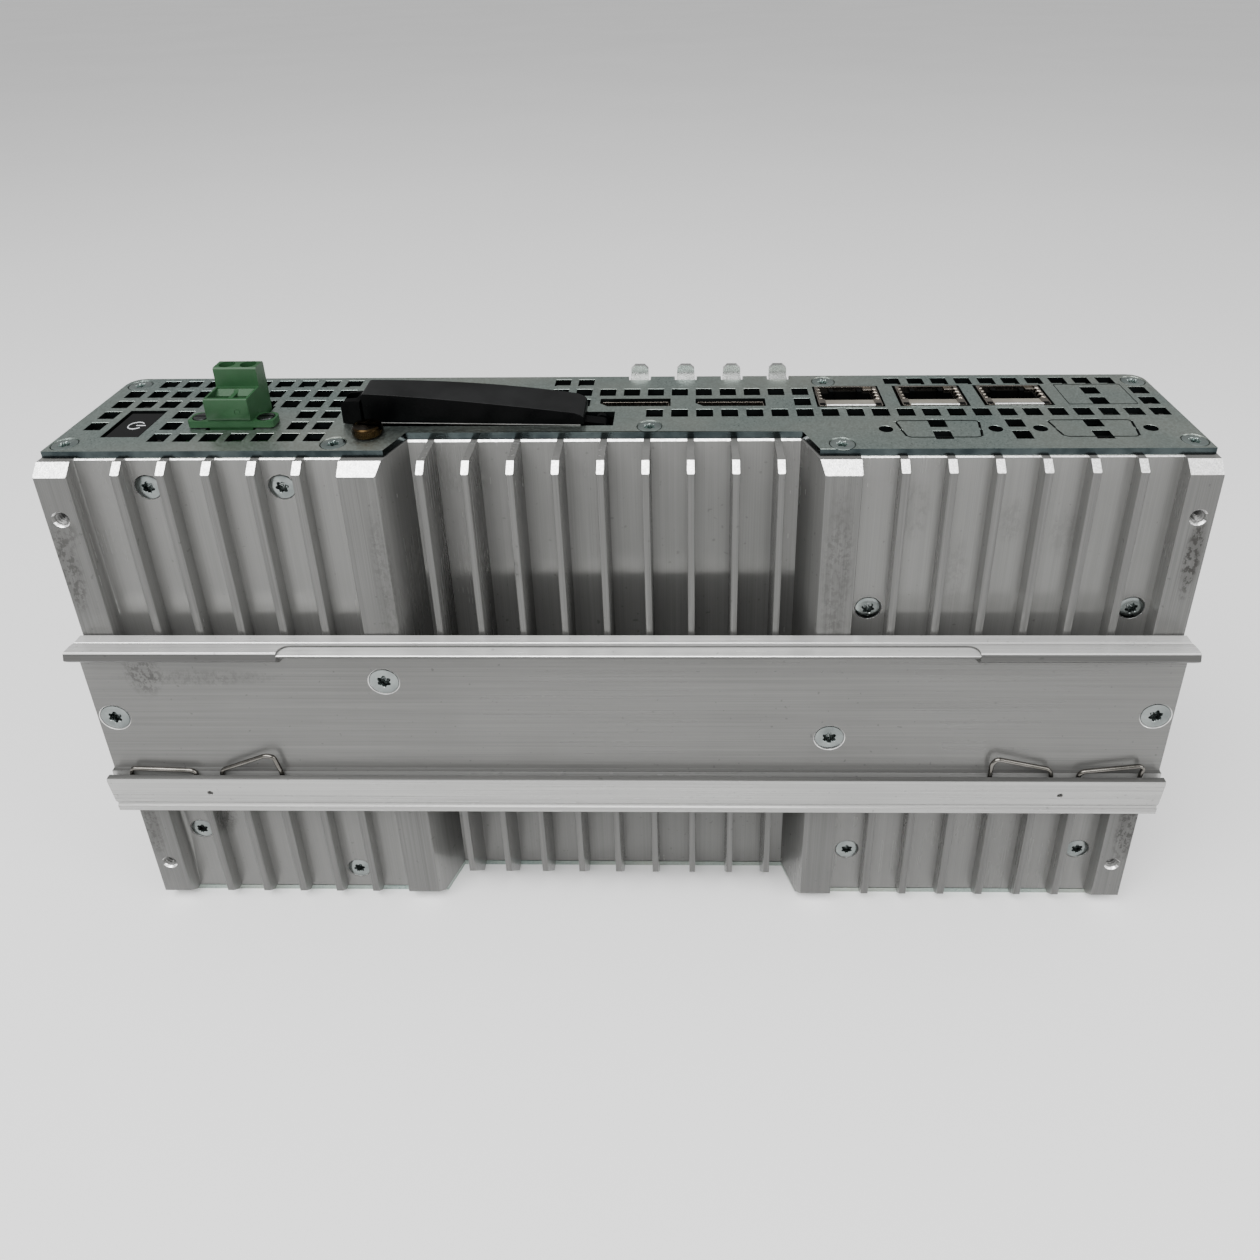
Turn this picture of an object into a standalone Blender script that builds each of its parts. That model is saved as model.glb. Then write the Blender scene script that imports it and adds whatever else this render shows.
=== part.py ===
"""Fanless box controller with a ribbed heatsink, a DIN-rail bracket and a connector plate.

Lengths in this file are in millimetres and are turned into metres when a mesh is made.
X runs along the width, Y from the ribbed front to the rear, Z up to the connector plate.
Inside the file Y = 0 is the front plane of the heatsink; the assembly empty moves it to the middle.
"""

import math

import bmesh
import bpy
from mathutils import Vector

MM = 0.001

# Housing
WIDTH = 262.0
HEIGHT = 139.7
SHEET = 1.6
BASE_SHEET = 1.5
GAP = 0.25
SINK_LOW = BASE_SHEET + GAP
SINK_HIGH = HEIGHT - SHEET - GAP
REAR_Y = 44.4
COVER_Y = REAR_Y + GAP
BRACKET_FRONT_Y = -8.0
REAR_OUTER_Y = COVER_Y + BASE_SHEET
CENTRE_Y = (BRACKET_FRONT_Y + REAR_OUTER_Y) / 2
PLATE_LOW = HEIGHT - SHEET

# Heatsink profile
RIB_TIP_Y = 0.35
GROOVE_Y = 4.1
RECESS_Y = 12.4
SIDE_WALL = 4.0
SIDE_INNER_Y = 10.0
RECESS_INNER_Y = 16.0
END_CHAMFER = 2.64
SIDE_RIB = 1.9
RECESS_RIB = 1.6
BLOCKS = ((-131.0, -123.5), (-63.1, -54.6), (44.6, 52.8), (123.6, 131.0))
RECESS_FLOOR = (-50.2, 40.4)
LEFT_RIBS = (-112.8, 10.12, 5)
RECESS_RIBS = (-44.8, 9.985, 9)
RIGHT_RIBS = (62.2, 10.36, 6)
RIB_FOOT_CUT = 12.5

# Vent grid of the connector plate: column 0 row 5 is the front left hole
VENT_PITCH = 5.973
VENT_HOLE = 4.0
VENT_X = -124.84
VENT_Y = 10.72
VENT_COLUMNS = {
    0: ((1, 9), (18, 19), (32, 41)),
    1: ((0, 9), (18, 28), (40, 40), (42, 42)),
    2: ((0, 3), (6, 9), (19, 19), (28, 28), (40, 40), (42, 42)),
    3: ((0, 0), (3, 3), (8, 9), (22, 42)),
    4: ((0, 0), (3, 3), (8, 9), (33, 33), (36, 36), (39, 39)),
    5: ((3, 9), (33, 33), (36, 36), (39, 39)),
}
CABLE_LUG_X = (2.15, 14.0, 25.85, 37.7)

# Connectors, each as (low x, low y, high x, high y) of the hole in the plate
BUTTON_HOLE = (-120.8, 11.0, -111.8, 25.1)
TERMINAL_HOLE = (-97.9, 14.4, -86.3, 27.4)
SLOT_HOLE = (-64.0, 16.1, -2.9, 23.5)
DISPLAY_HOLES = ((-6.9, 26.5, 10.3, 30.8), (16.4, 26.4, 33.4, 30.7))
JACK_HOLES = ((45.7, 25.7, 62.1, 37.8), (65.7, 25.9, 82.5, 37.9), (85.9, 26.1, 102.7, 38.0))
DSUB_BLANKS = ((72.4, 13.8), (107.6, 13.9))

# Fastener places
PLATE_SCREWS = (
    (-127.0, 7.7),
    (-126.4, 40.3),
    (-65.6, 7.7),
    (5.6, 15.7),
    (48.9, 40.6),
    (48.9, 6.6),
    (126.9, 40.2),
    (127.2, 7.8),
)
BODY_SCREWS = (
    (-108.2, 130.4),
    (-77.5, 130.4),
    (57.2, 96.8),
    (119.4, 96.8),
    (-118.5, 23.3),
    (-77.5, 8.4),
    (57.2, 16.5),
    (119.4, 17.0),
)
BRACKET_SCREWS = ((-58.9, 80.7), (-127.1, 69.4), (48.9, 63.3), (127.1, 70.4))
CORNER_HOLES = ((-127.5, 124.4), (127.5, 124.4), (-127.3, 15.2), (127.3, 16.2))

# DIN-rail bracket, Y and Z
WEB_Y = -3.2
BRACKET_BACK = -0.3
BRACKET_TOP = 92.3
BRACKET_LOW = 41.1
LEDGE_Z = 53.1
WIRE_Y = -5.0
WIRE_R = 0.55
WIRE_FOOT = 4.0
GROOVE_HALF = 0.68
GROOVE_LOW = 45.6
MILLED_HALF = 81.4

# Spring wires as the X and Z of their corners, from one foot to the other
WIRES = {
    "rail_spring_1": ((-126.0, 53.1), (-125.4, 54.6), (-110.4, 54.0), (-109.6, 53.1)),
    "rail_spring_2": ((-103.0, 53.1), (-102.4, 54.3), (-91.0, 58.9), (-89.0, 58.5), (-87.8, 53.1)),
    "rail_spring_3": ((88.9, 53.1), (88.9, 56.7), (90.1, 58.3), (103.2, 55.1), (104.0, 53.1)),
    "rail_spring_4": ((110.7, 53.1), (111.5, 54.3), (125.2, 56.2), (126.2, 55.4), (125.8, 53.1)),
}

# Moving pieces
PLUG_X = -92.1
PLUG_FRONT = 15.0
PLUG_EAR_X = 7.6
PLUG_EAR_Y = 17.7
COVER_PIN = (-6.0, 137.6)
COVER_X_SPAN = (-61.6, -9.5)
COVER_FRONT = (17.7, 15.9)
COVER_REAR = 24.9
COVER_LOW = HEIGHT + 0.3
FRONT_CREST = (147.3, 4.5, 1.35)
REAR_CREST = (147.8, 4.1, 2.1)
THUMB_SCREW = (-58.9, 11.9)
THUMB_R = 3.45

assembly = None


def clear_scene():
    for obj in list(bpy.data.objects):
        bpy.data.objects.remove(obj, do_unlink=True)


def material(name, colour, roughness, metallic):
    found = bpy.data.materials.get(name)
    if found:
        return found
    made = bpy.data.materials.new(name)
    made.use_nodes = True
    shader = made.node_tree.nodes["Principled BSDF"]
    shader.inputs["Base Color"].default_value = (*colour, 1.0)
    shader.inputs["Roughness"].default_value = roughness
    shader.inputs["Metallic"].default_value = metallic
    made.diffuse_color = (*colour, 1.0)
    return made


def aluminium():
    return material("extruded_aluminium", (0.52, 0.52, 0.51), 0.36, 1.0)


def bracket_aluminium():
    return material("brushed_aluminium", (0.56, 0.56, 0.55), 0.32, 1.0)


def zinc_sheet():
    return material("zinc_plated_sheet", (0.42, 0.45, 0.44), 0.40, 1.0)


def zinc_screw():
    return material("zinc_plated_screw", (0.50, 0.55, 0.55), 0.28, 1.0)


def black_plastic():
    return material("black_plastic", (0.020, 0.020, 0.022), 0.45, 0.0)


def green_plastic():
    return material("green_plastic", (0.055, 0.20, 0.085), 0.50, 0.0)


def brass():
    return material("brass", (0.45, 0.28, 0.10), 0.35, 1.0)


def nickel():
    return material("nickel_shell", (0.62, 0.58, 0.54), 0.25, 1.0)


def spring_steel():
    return material("spring_steel", (0.42, 0.42, 0.40), 0.25, 1.0)


def circuit_board():
    return material("circuit_board", (0.02, 0.13, 0.06), 0.45, 0.0)


def chip_black():
    return material("chip_package", (0.03, 0.03, 0.035), 0.5, 0.0)


def copper():
    return material("copper_block", (0.60, 0.30, 0.18), 0.35, 1.0)


def add_object(name, mesh_data, finish, place=(0, 0, 0)):
    """Links a mesh under the assembly empty, with its origin at place."""
    obj = bpy.data.objects.new(name, mesh_data)
    bpy.context.scene.collection.objects.link(obj)
    obj.parent = assembly
    obj.location = Vector(place) * MM
    if finish:
        obj.data.materials.clear()
        obj.data.materials.append(finish)
    return obj


def mesh_from(bm, name, origin=(0, 0, 0)):
    """Turns a bmesh in millimetres into a mesh in metres whose zero is at origin."""
    bmesh.ops.recalc_face_normals(bm, faces=bm.faces)
    bmesh.ops.translate(bm, verts=bm.verts, vec=-Vector(origin))
    bmesh.ops.scale(bm, vec=(MM, MM, MM), verts=bm.verts)
    data = bpy.data.meshes.new(name)
    bm.to_mesh(data)
    bm.free()
    return data


def place_point(axis, along, a, b):
    """A point from its distance along an axis and its two other coordinates, in X, Y, Z order."""
    if axis == "X":
        return (along, a, b)
    if axis == "Y":
        return (a, along, b)
    return (a, b, along)


def add_prism(bm, outline, axis, low, high):
    """A prism on a closed outline of two other coordinates, from low to high along an axis."""
    bottom = [bm.verts.new(place_point(axis, low, a, b)) for a, b in outline]
    top = [bm.verts.new(place_point(axis, high, a, b)) for a, b in outline]
    count = len(outline)
    bm.faces.new(bottom)
    bm.faces.new(reversed(top))
    for i in range(count):
        j = (i + 1) % count
        bm.faces.new((bottom[j], bottom[i], top[i], top[j]))


def add_lathe(bm, profile, centre, axis, segments):
    """A turned body from (radius, height) pairs whose first and last radius are zero."""
    rings = []
    for radius, height in profile:
        if radius < 1e-6:
            rings.append([bm.verts.new(place_point(axis, centre[2] + height, *centre[:2]))])
            continue
        ring = []
        for i in range(segments):
            turn = 2 * math.pi * i / segments
            a = centre[0] + radius * math.cos(turn)
            b = centre[1] + radius * math.sin(turn)
            ring.append(bm.verts.new(place_point(axis, centre[2] + height, a, b)))
        rings.append(ring)
    for lower, upper in zip(rings, rings[1:]):
        for i in range(segments):
            j = (i + 1) % segments
            corners = [lower[i % len(lower)], lower[j % len(lower)]]
            corners += [upper[j % len(upper)], upper[i % len(upper)]]
            bm.faces.new(list(dict.fromkeys(corners)))


def rectangle(low_a, low_b, high_a, high_b):
    return [(low_a, low_b), (high_a, low_b), (high_a, high_b), (low_a, high_b)]


def arc(centre, radius, start, end, steps):
    """Points of an arc, with its angles in degrees."""
    points = []
    for i in range(steps + 1):
        turn = math.radians(start + (end - start) * i / steps)
        points.append((centre[0] + radius * math.cos(turn), centre[1] + radius * math.sin(turn)))
    return points


def rounded(low_a, low_b, high_a, high_b, radius, steps=3):
    corners = (
        (high_a - radius, high_b - radius, 0),
        (low_a + radius, high_b - radius, 90),
        (low_a + radius, low_b + radius, 180),
        (high_a - radius, low_b + radius, 270),
    )
    points = []
    for a, b, start in corners:
        points += arc((a, b), radius, start, start + 90, steps)
    return points


def prism(name, outline, axis, low, high, finish, origin=(0, 0, 0)):
    bm = bmesh.new()
    add_prism(bm, outline, axis, low, high)
    return add_object(name, mesh_from(bm, name, origin), finish, origin)


def box(name, low, high, finish, origin=(0, 0, 0)):
    outline = rectangle(low[0], low[1], high[0], high[1])
    return prism(name, outline, "Z", low[2], high[2], finish, origin)


def apply_boolean(target, bm, operation):
    """Cuts or joins the bodies of one bmesh, in assembly millimetres, with a target object."""
    offset = target.location / MM
    helper = add_object("helper", mesh_from(bm, "helper", offset), None, offset)
    modifier = target.modifiers.new(operation.lower(), "BOOLEAN")
    modifier.operation = operation
    modifier.solver = "EXACT"
    modifier.object = helper
    bpy.context.view_layer.update()
    graph = bpy.context.evaluated_depsgraph_get()
    result = bpy.data.meshes.new_from_object(target.evaluated_get(graph))
    finish = target.data.materials[0]
    target.modifiers.clear()
    target.data = result
    target.data.materials.clear()
    target.data.materials.append(finish)
    bpy.data.objects.remove(helper, do_unlink=True)


def cut(target, bm):
    apply_boolean(target, bm, "DIFFERENCE")


def join(target, bm):
    apply_boolean(target, bm, "UNION")


def smooth(obj, angle=35):
    obj.data.shade_smooth()
    obj.data.set_sharp_from_angle(angle=math.radians(angle))


def rib_outline(ribs, width, floor):
    """Front outline of a row of ribs, left to right, starting and ending on the floor."""
    first, pitch, count = ribs
    points = []
    for i in range(count):
        left = first + pitch * i - width / 2
        right = left + width
        points += [(left, floor), (left, RIB_TIP_Y), (right, RIB_TIP_Y), (right, floor)]
    return points


def heatsink_outline():
    corner_left, wide_left, wide_right, corner_right = BLOCKS
    outline = [(corner_left[0], 0), (corner_left[1], 0), (corner_left[1], GROOVE_Y)]
    outline += rib_outline(LEFT_RIBS, SIDE_RIB, GROOVE_Y)
    outline += [(wide_left[0], GROOVE_Y), (wide_left[0], 0), (wide_left[1], 0)]
    outline += [(RECESS_FLOOR[0], RECESS_Y)]
    outline += rib_outline(RECESS_RIBS, RECESS_RIB, RECESS_Y)
    outline += [(RECESS_FLOOR[1], RECESS_Y)]
    outline += [(wide_right[0], 0), (wide_right[1], 0), (wide_right[1], GROOVE_Y)]
    outline += rib_outline(RIGHT_RIBS, SIDE_RIB, GROOVE_Y)
    outline += [(corner_right[0], GROOVE_Y), (corner_right[0], 0), (corner_right[1], 0)]
    half = WIDTH / 2
    inner = half - SIDE_WALL
    boss = half - 8.5
    boss_y = REAR_Y - 8
    outline += [(half, REAR_Y), (boss, REAR_Y), (boss, boss_y), (inner, boss_y)]
    outline += [(inner, SIDE_INNER_Y), (47.0, SIDE_INNER_Y), (43.5, RECESS_INNER_Y)]
    screw_x = PLATE_SCREWS[3][0]
    outline += [(screw_x + 4.2, RECESS_INNER_Y), (screw_x + 4.2, 19.6), (screw_x - 4.2, 19.6)]
    outline += [(screw_x - 4.2, RECESS_INNER_Y)]
    outline += [(-53.0, RECESS_INNER_Y), (-56.5, SIDE_INNER_Y), (-inner, SIDE_INNER_Y)]
    outline += [(-inner, boss_y), (-boss, boss_y), (-boss, REAR_Y), (-half, REAR_Y)]
    return outline


def make_heatsink():
    sink = prism("heatsink", heatsink_outline(), "Z", SINK_LOW, SINK_HIGH, aluminium())
    bm = bmesh.new()
    far = WIDTH / 2 + 2
    top = [(-1, SINK_HIGH - END_CHAMFER - 1), (END_CHAMFER + 1, SINK_HIGH + 1), (-1, SINK_HIGH + 1)]
    low = [(-1, SINK_LOW + END_CHAMFER + 1), (END_CHAMFER + 1, SINK_LOW - 1), (-1, SINK_LOW - 1)]
    add_prism(bm, top, "X", -far, far)
    add_prism(bm, low, "X", -far, far)
    cut(sink, bm)
    bm = bmesh.new()
    foot_slope = (RIB_FOOT_CUT - SINK_LOW) / 9.1
    feet = [(-1, SINK_LOW - 1), (-1, RIB_FOOT_CUT + foot_slope), (RECESS_Y - 2.5, SINK_LOW - 1)]
    add_prism(bm, feet, "X", RECESS_FLOOR[0] + 1.2, RECESS_FLOOR[1] - 1.2)
    cut(sink, bm)
    bm = bmesh.new()
    for x, y in PLATE_SCREWS:
        if y < REAR_Y - 10 or abs(x) > 100:
            add_lathe(bm, [(0, -9), (1.5, -9), (1.5, 1), (0, 1)], (x, y, SINK_HIGH), "Z", 10)
    for x, z in BODY_SCREWS:
        hole = [(0, -1), (3.3, -1), (3.3, 0.15), (1.5, 1.9), (1.5, 7), (0, 7)]
        add_lathe(bm, hole, (x, z, GROOVE_Y), "Y", 12)
    for x, z in CORNER_HOLES:
        hole = [(0, -1), (2.6, -1), (2.1, 0), (1.65, 0.5), (1.65, 7), (0, 7)]
        add_lathe(bm, hole, (x, z, 0), "Y", 14)
    for x, z in BRACKET_SCREWS:
        add_lathe(bm, [(0, -1), (2.1, -1), (2.1, 9), (0, 9)], (x, z, 0), "Y", 12)
    cut(sink, bm)


def vent_cutters(bm, low, high):
    half = VENT_HOLE / 2
    for row, spans in VENT_COLUMNS.items():
        y = VENT_Y + VENT_PITCH * (5 - row)
        for first, last in spans:
            for column in range(first, last + 1):
                x = VENT_X + VENT_PITCH * column
                add_prism(bm, rectangle(x - half, y - half, x + half, y + half), "Z", low, high)


def plate_outline():
    half = WIDTH / 2 - 0.6
    outline = [(-half, GROOVE_Y), (-53.4, GROOVE_Y), (-50.5, RECESS_Y + 0.3)]
    outline += [(40.7, RECESS_Y + 0.3), (43.7, GROOVE_Y), (half, GROOVE_Y)]
    outline += arc((half - 3.5, REAR_Y - 3.5), 3.5, 0, 90, 4)
    for x in reversed(CABLE_LUG_X):
        outline += [(x + 2.8, REAR_Y), (x + 2.8, 42.2), (x - 2.8, 42.2), (x - 2.8, REAR_Y)]
    outline += arc((-half + 3.5, REAR_Y - 3.5), 3.5, 90, 180, 4)
    return outline


def dsub_slits(centre):
    """Thin cuts that mark a D-shaped blank: two slanted ends, each with a bridge in its middle."""
    x, y = centre
    slits = []
    for side in (-1, 1):
        for up in (-1, 1):
            outer = 9.9 if up > 0 else 8.7
            inner = 9.35
            width = 0.55
            slits.append(
                [
                    (x + side * inner, y + up * 0.45),
                    (x + side * outer, y + up * 3.7),
                    (x + side * (outer - width), y + up * 3.7),
                    (x + side * (inner - width), y + up * 0.45),
                ]
            )
    return slits


def make_interface_plate():
    plate = prism("interface_plate", plate_outline(), "Z", PLATE_LOW, HEIGHT, zinc_sheet())
    low = PLATE_LOW - 1
    high = HEIGHT + 1
    bm = bmesh.new()
    vent_cutters(bm, low, high)
    cut(plate, bm)
    bm = bmesh.new()
    holes = (BUTTON_HOLE, TERMINAL_HOLE, SLOT_HOLE, *JACK_HOLES)
    for hole in holes:
        add_prism(bm, rectangle(*hole), "Z", low, high)
    for x0, y0, x1, y1 in DISPLAY_HOLES:
        outline = [(x0, y0 + 1.7), (x0 + 1.9, y0), (x1, y0), (x1, y1), (x0, y1)]
        add_prism(bm, outline, "Z", low, high)
    for centre in DSUB_BLANKS:
        for slit in dsub_slits(centre):
            add_prism(bm, slit, "Z", low, high)
        for side in (-1, 1):
            x = centre[0] + side * 12.5
            add_lathe(bm, [(0, -3), (1.65, -3), (1.65, 1), (0, 1)], (x, centre[1], HEIGHT), "Z", 16)
    for x in (PLUG_X - PLUG_EAR_X, PLUG_X + PLUG_EAR_X):
        add_lathe(bm, [(0, -3), (1.3, -3), (1.3, 1), (0, 1)], (x, PLUG_EAR_Y, HEIGHT), "Z", 12)
    x, y = THUMB_SCREW
    add_lathe(bm, [(0, -3), (1.8, -3), (1.8, 1), (0, 1)], (x, y, HEIGHT), "Z", 14)
    cut(plate, bm)
    bm = bmesh.new()
    for x, y in PLATE_SCREWS:
        sink = [(0, -3), (1.6, -3), (1.6, -1.3), (3.05, -0.1), (3.05, 1), (0, 1)]
        add_lathe(bm, sink, (x, y, HEIGHT), "Z", 14)
    cut(plate, bm)


def make_base_plate():
    half = WIDTH / 2 - 0.6
    outline = [(-half, GROOVE_Y), (-53.4, GROOVE_Y), (-50.5, RECESS_Y), (40.7, RECESS_Y)]
    outline += [(43.7, GROOVE_Y), (half, GROOVE_Y), (half, REAR_Y), (-half, REAR_Y)]
    base = prism("base_plate", outline, "Z", 0, BASE_SHEET, zinc_sheet())
    bm = bmesh.new()
    for i in range(14):
        x = -97.5 + 15 * i
        for y in (24.0, 35.0):
            add_prism(bm, rectangle(x - 5, y - 2, x + 5, y + 2), "Z", -1, 3)
    cut(base, bm)


def make_rear_cover():
    half = WIDTH / 2 - 0.3
    low = 0.3
    high = HEIGHT - 2.9
    outline = rounded(-half, low, half, high, 3.0)
    cover = prism("rear_cover", outline, "Y", COVER_Y, REAR_OUTER_Y, zinc_sheet())
    bm = bmesh.new()
    for x in CABLE_LUG_X:
        tab = [(x - 2.4, high - 4), (x + 2.4, high - 4), (x + 2.2, 141.6), (x + 1.2, 142.6)]
        tab += [(x - 1.2, 142.6), (x - 2.2, 141.6)]
        add_prism(bm, tab, "Y", COVER_Y + 0.02, REAR_OUTER_Y - 0.02)
    join(cover, bm)
    bm = bmesh.new()
    for x in CABLE_LUG_X:
        foot = rectangle(x - 2.3, 42.7, x + 2.3, REAR_OUTER_Y - 0.4)
        add_prism(bm, foot, "Z", PLATE_LOW - 0.4, HEIGHT - 0.3)
    join(cover, bm)
    bm = bmesh.new()
    x, y = PLATE_SCREWS[4]
    add_prism(bm, rectangle(x - 4, y - 2.5, x + 4, COVER_Y + 0.8), "Z", 118, high)
    join(cover, bm)
    bm = bmesh.new()
    add_lathe(bm, [(0, -12), (1.5, -12), (1.5, 1), (0, 1)], (x, y, high), "Z", 10)
    for row in range(3):
        for column in range(12):
            x = -55 + 10 * column
            z = 22 + 14 * row
            slot = rectangle(x - 1.5, z - 5, x + 1.5, z + 5)
            add_prism(bm, slot, "Y", COVER_Y - 1, REAR_OUTER_Y + 1)
    cut(cover, bm)


def bracket_profile():
    """Outline in Y and Z: rail ledge below, web, and the hooked lip above."""
    return [
        (BRACKET_BACK, BRACKET_LOW),
        (-5.9, BRACKET_LOW),
        (-6.15, 43.2),
        (-5.95, 44.3),
        (-6.3, 44.9),
        (-7.1, LEDGE_Z - 0.6),
        (-6.6, LEDGE_Z),
        (WIRE_Y - GROOVE_HALF, LEDGE_Z),
        (WIRE_Y - GROOVE_HALF, GROOVE_LOW),
        (WIRE_Y + GROOVE_HALF, GROOVE_LOW),
        (WIRE_Y + GROOVE_HALF, LEDGE_Z),
        (WEB_Y, LEDGE_Z),
        (WEB_Y, 90.8),
        (-5.2, 90.8),
        (-5.2, 89.4),
        (-6.5, 89.4),
        (BRACKET_FRONT_Y, 91.0),
        (-7.5, 92.9),
        (-4.4, 92.65),
        (-3.2, BRACKET_TOP),
        (BRACKET_BACK, BRACKET_TOP),
    ]


def make_bracket():
    half = WIDTH / 2 + 0.3
    bracket = prism("din_rail_bracket", bracket_profile(), "X", -half, half, bracket_aluminium())
    bm = bmesh.new()
    for x, z in BRACKET_SCREWS:
        hole = [(0, -1), (3.75, -1), (3.75, 0.2), (2.2, 1.7), (2.2, 4), (0, 4)]
        add_lathe(bm, hole, (x, z, WEB_Y), "Y", 14)
    for x in (-106.3, 106.3):
        add_lathe(bm, [(0, -2), (0.7, -2), (0.7, 0.5), (0, 0.5)], (x, 48.0, -6.7), "Y", 10)
    cut(bracket, bm)
    bm = bmesh.new()
    add_prism(bm, rectangle(-9, 89.0, -5.35, 91.2), "X", -MILLED_HALF, MILLED_HALF)
    cut(bracket, bm)
    bm = bmesh.new()
    add_prism(bm, rectangle(-9, 92.2, -4.55, 94.0), "X", -MILLED_HALF, MILLED_HALF)
    cut(bracket, bm)


def wire_route(corners):
    """Points of one spring wire: two straight feet, and every bend cut to a short chamfer."""
    foot = LEDGE_Z - WIRE_FOOT
    points = [(corners[0][0], foot), (corners[0][0], corners[0][1] - 0.3)]
    for before, here, after in zip(corners, corners[1:], corners[2:]):
        for other in (before, after):
            away = Vector(other) - Vector(here)
            reach = min(0.9, away.length * 0.4)
            points.append(tuple(Vector(here) + away.normalized() * reach))
    return points + [(corners[-1][0], corners[-1][1] - 0.3), (corners[-1][0], foot)]


def make_springs():
    for name, corners in WIRES.items():
        origin = Vector((corners[0][0], WIRE_Y, LEDGE_Z))
        curve = bpy.data.curves.new(name, "CURVE")
        curve.dimensions = "3D"
        curve.bevel_depth = WIRE_R * MM
        curve.bevel_resolution = 2
        curve.use_fill_caps = True
        route = wire_route(corners)
        spline = curve.splines.new("POLY")
        spline.points.add(len(route) - 1)
        for point, (x, z) in zip(spline.points, route):
            point.co = (*((Vector((x, WIRE_Y, z)) - origin) * MM), 1.0)
        add_object(name, curve, spring_steel(), origin)


def driver_recess(radius):
    """Outline of a six-sided driver recess."""
    return arc((0, 0), radius, 0, 300, 5)


def countersunk_screw(name, head_r, cone, shank_r, length, place, axis):
    """A countersunk screw with its head's face at place and its shank along an axis, away from the face."""
    sign = -1 if axis == "Z" else 1
    profile = [(0, 0), (head_r, 0), (head_r, 0.15), (shank_r, cone), (shank_r, length), (0, length)]
    profile = [(radius, sign * height) for radius, height in profile]
    along = {"Z": 2, "Y": 1}[axis]
    others = [i for i in range(3) if i != along]
    centre = (place[others[0]], place[others[1]], place[along])
    bm = bmesh.new()
    add_lathe(bm, profile, centre, axis, 14)
    screw = add_object(name, mesh_from(bm, name, place), zinc_screw(), place)
    bm = bmesh.new()
    recess = [(centre[0] + a, centre[1] + b) for a, b in driver_recess(head_r * 0.45)]
    ends = sorted((centre[2] + sign * 0.9 * cone, centre[2] - sign * 1.0))
    add_prism(bm, recess, axis, *ends)
    cut(screw, bm)
    smooth(screw, 30)


def make_fasteners():
    for number, (x, y) in enumerate(PLATE_SCREWS, 1):
        place = (x, y, HEIGHT - 0.05)
        countersunk_screw(f"plate_screw_{number}", 2.75, 1.35, 1.25, 8.0, place, "Z")
    for number, (x, z) in enumerate(BODY_SCREWS, 1):
        place = (x, GROOVE_Y + 0.05, z)
        countersunk_screw(f"body_screw_{number}", 3.0, 1.85, 1.25, 6.0, place, "Y")
    for number, (x, z) in enumerate(BRACKET_SCREWS, 1):
        place = (x, WEB_Y + 0.05, z)
        countersunk_screw(f"bracket_screw_{number}", 3.5, 1.9, 1.85, 10.0, place, "Y")


def make_power_button():
    x0, y0, x1, y1 = BUTTON_HOLE
    place = ((x0 + x1) / 2, (y0 + y1) / 2, HEIGHT - 0.4)
    outline = rounded(x0 + 0.3, y0 + 0.3, x1 - 0.3, y1 - 0.3, 0.5, 2)
    cap = prism("power_button", outline, "Z", HEIGHT - 4.0, HEIGHT - 0.4, black_plastic(), place)
    bm = bmesh.new()
    add_prism(bm, rectangle(x0 - 0.6, y0 - 0.4, x1 + 0.6, y1 + 0.4), "Z", PLATE_LOW - 2.4, PLATE_LOW - 0.25)
    join(cap, bm)
    switch_low = (place[0] - 3, place[1] - 3, 122.0)
    switch_high = (place[0] + 3, place[1] + 3, 133.4)
    box("power_switch", switch_low, switch_high, black_plastic())


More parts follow.
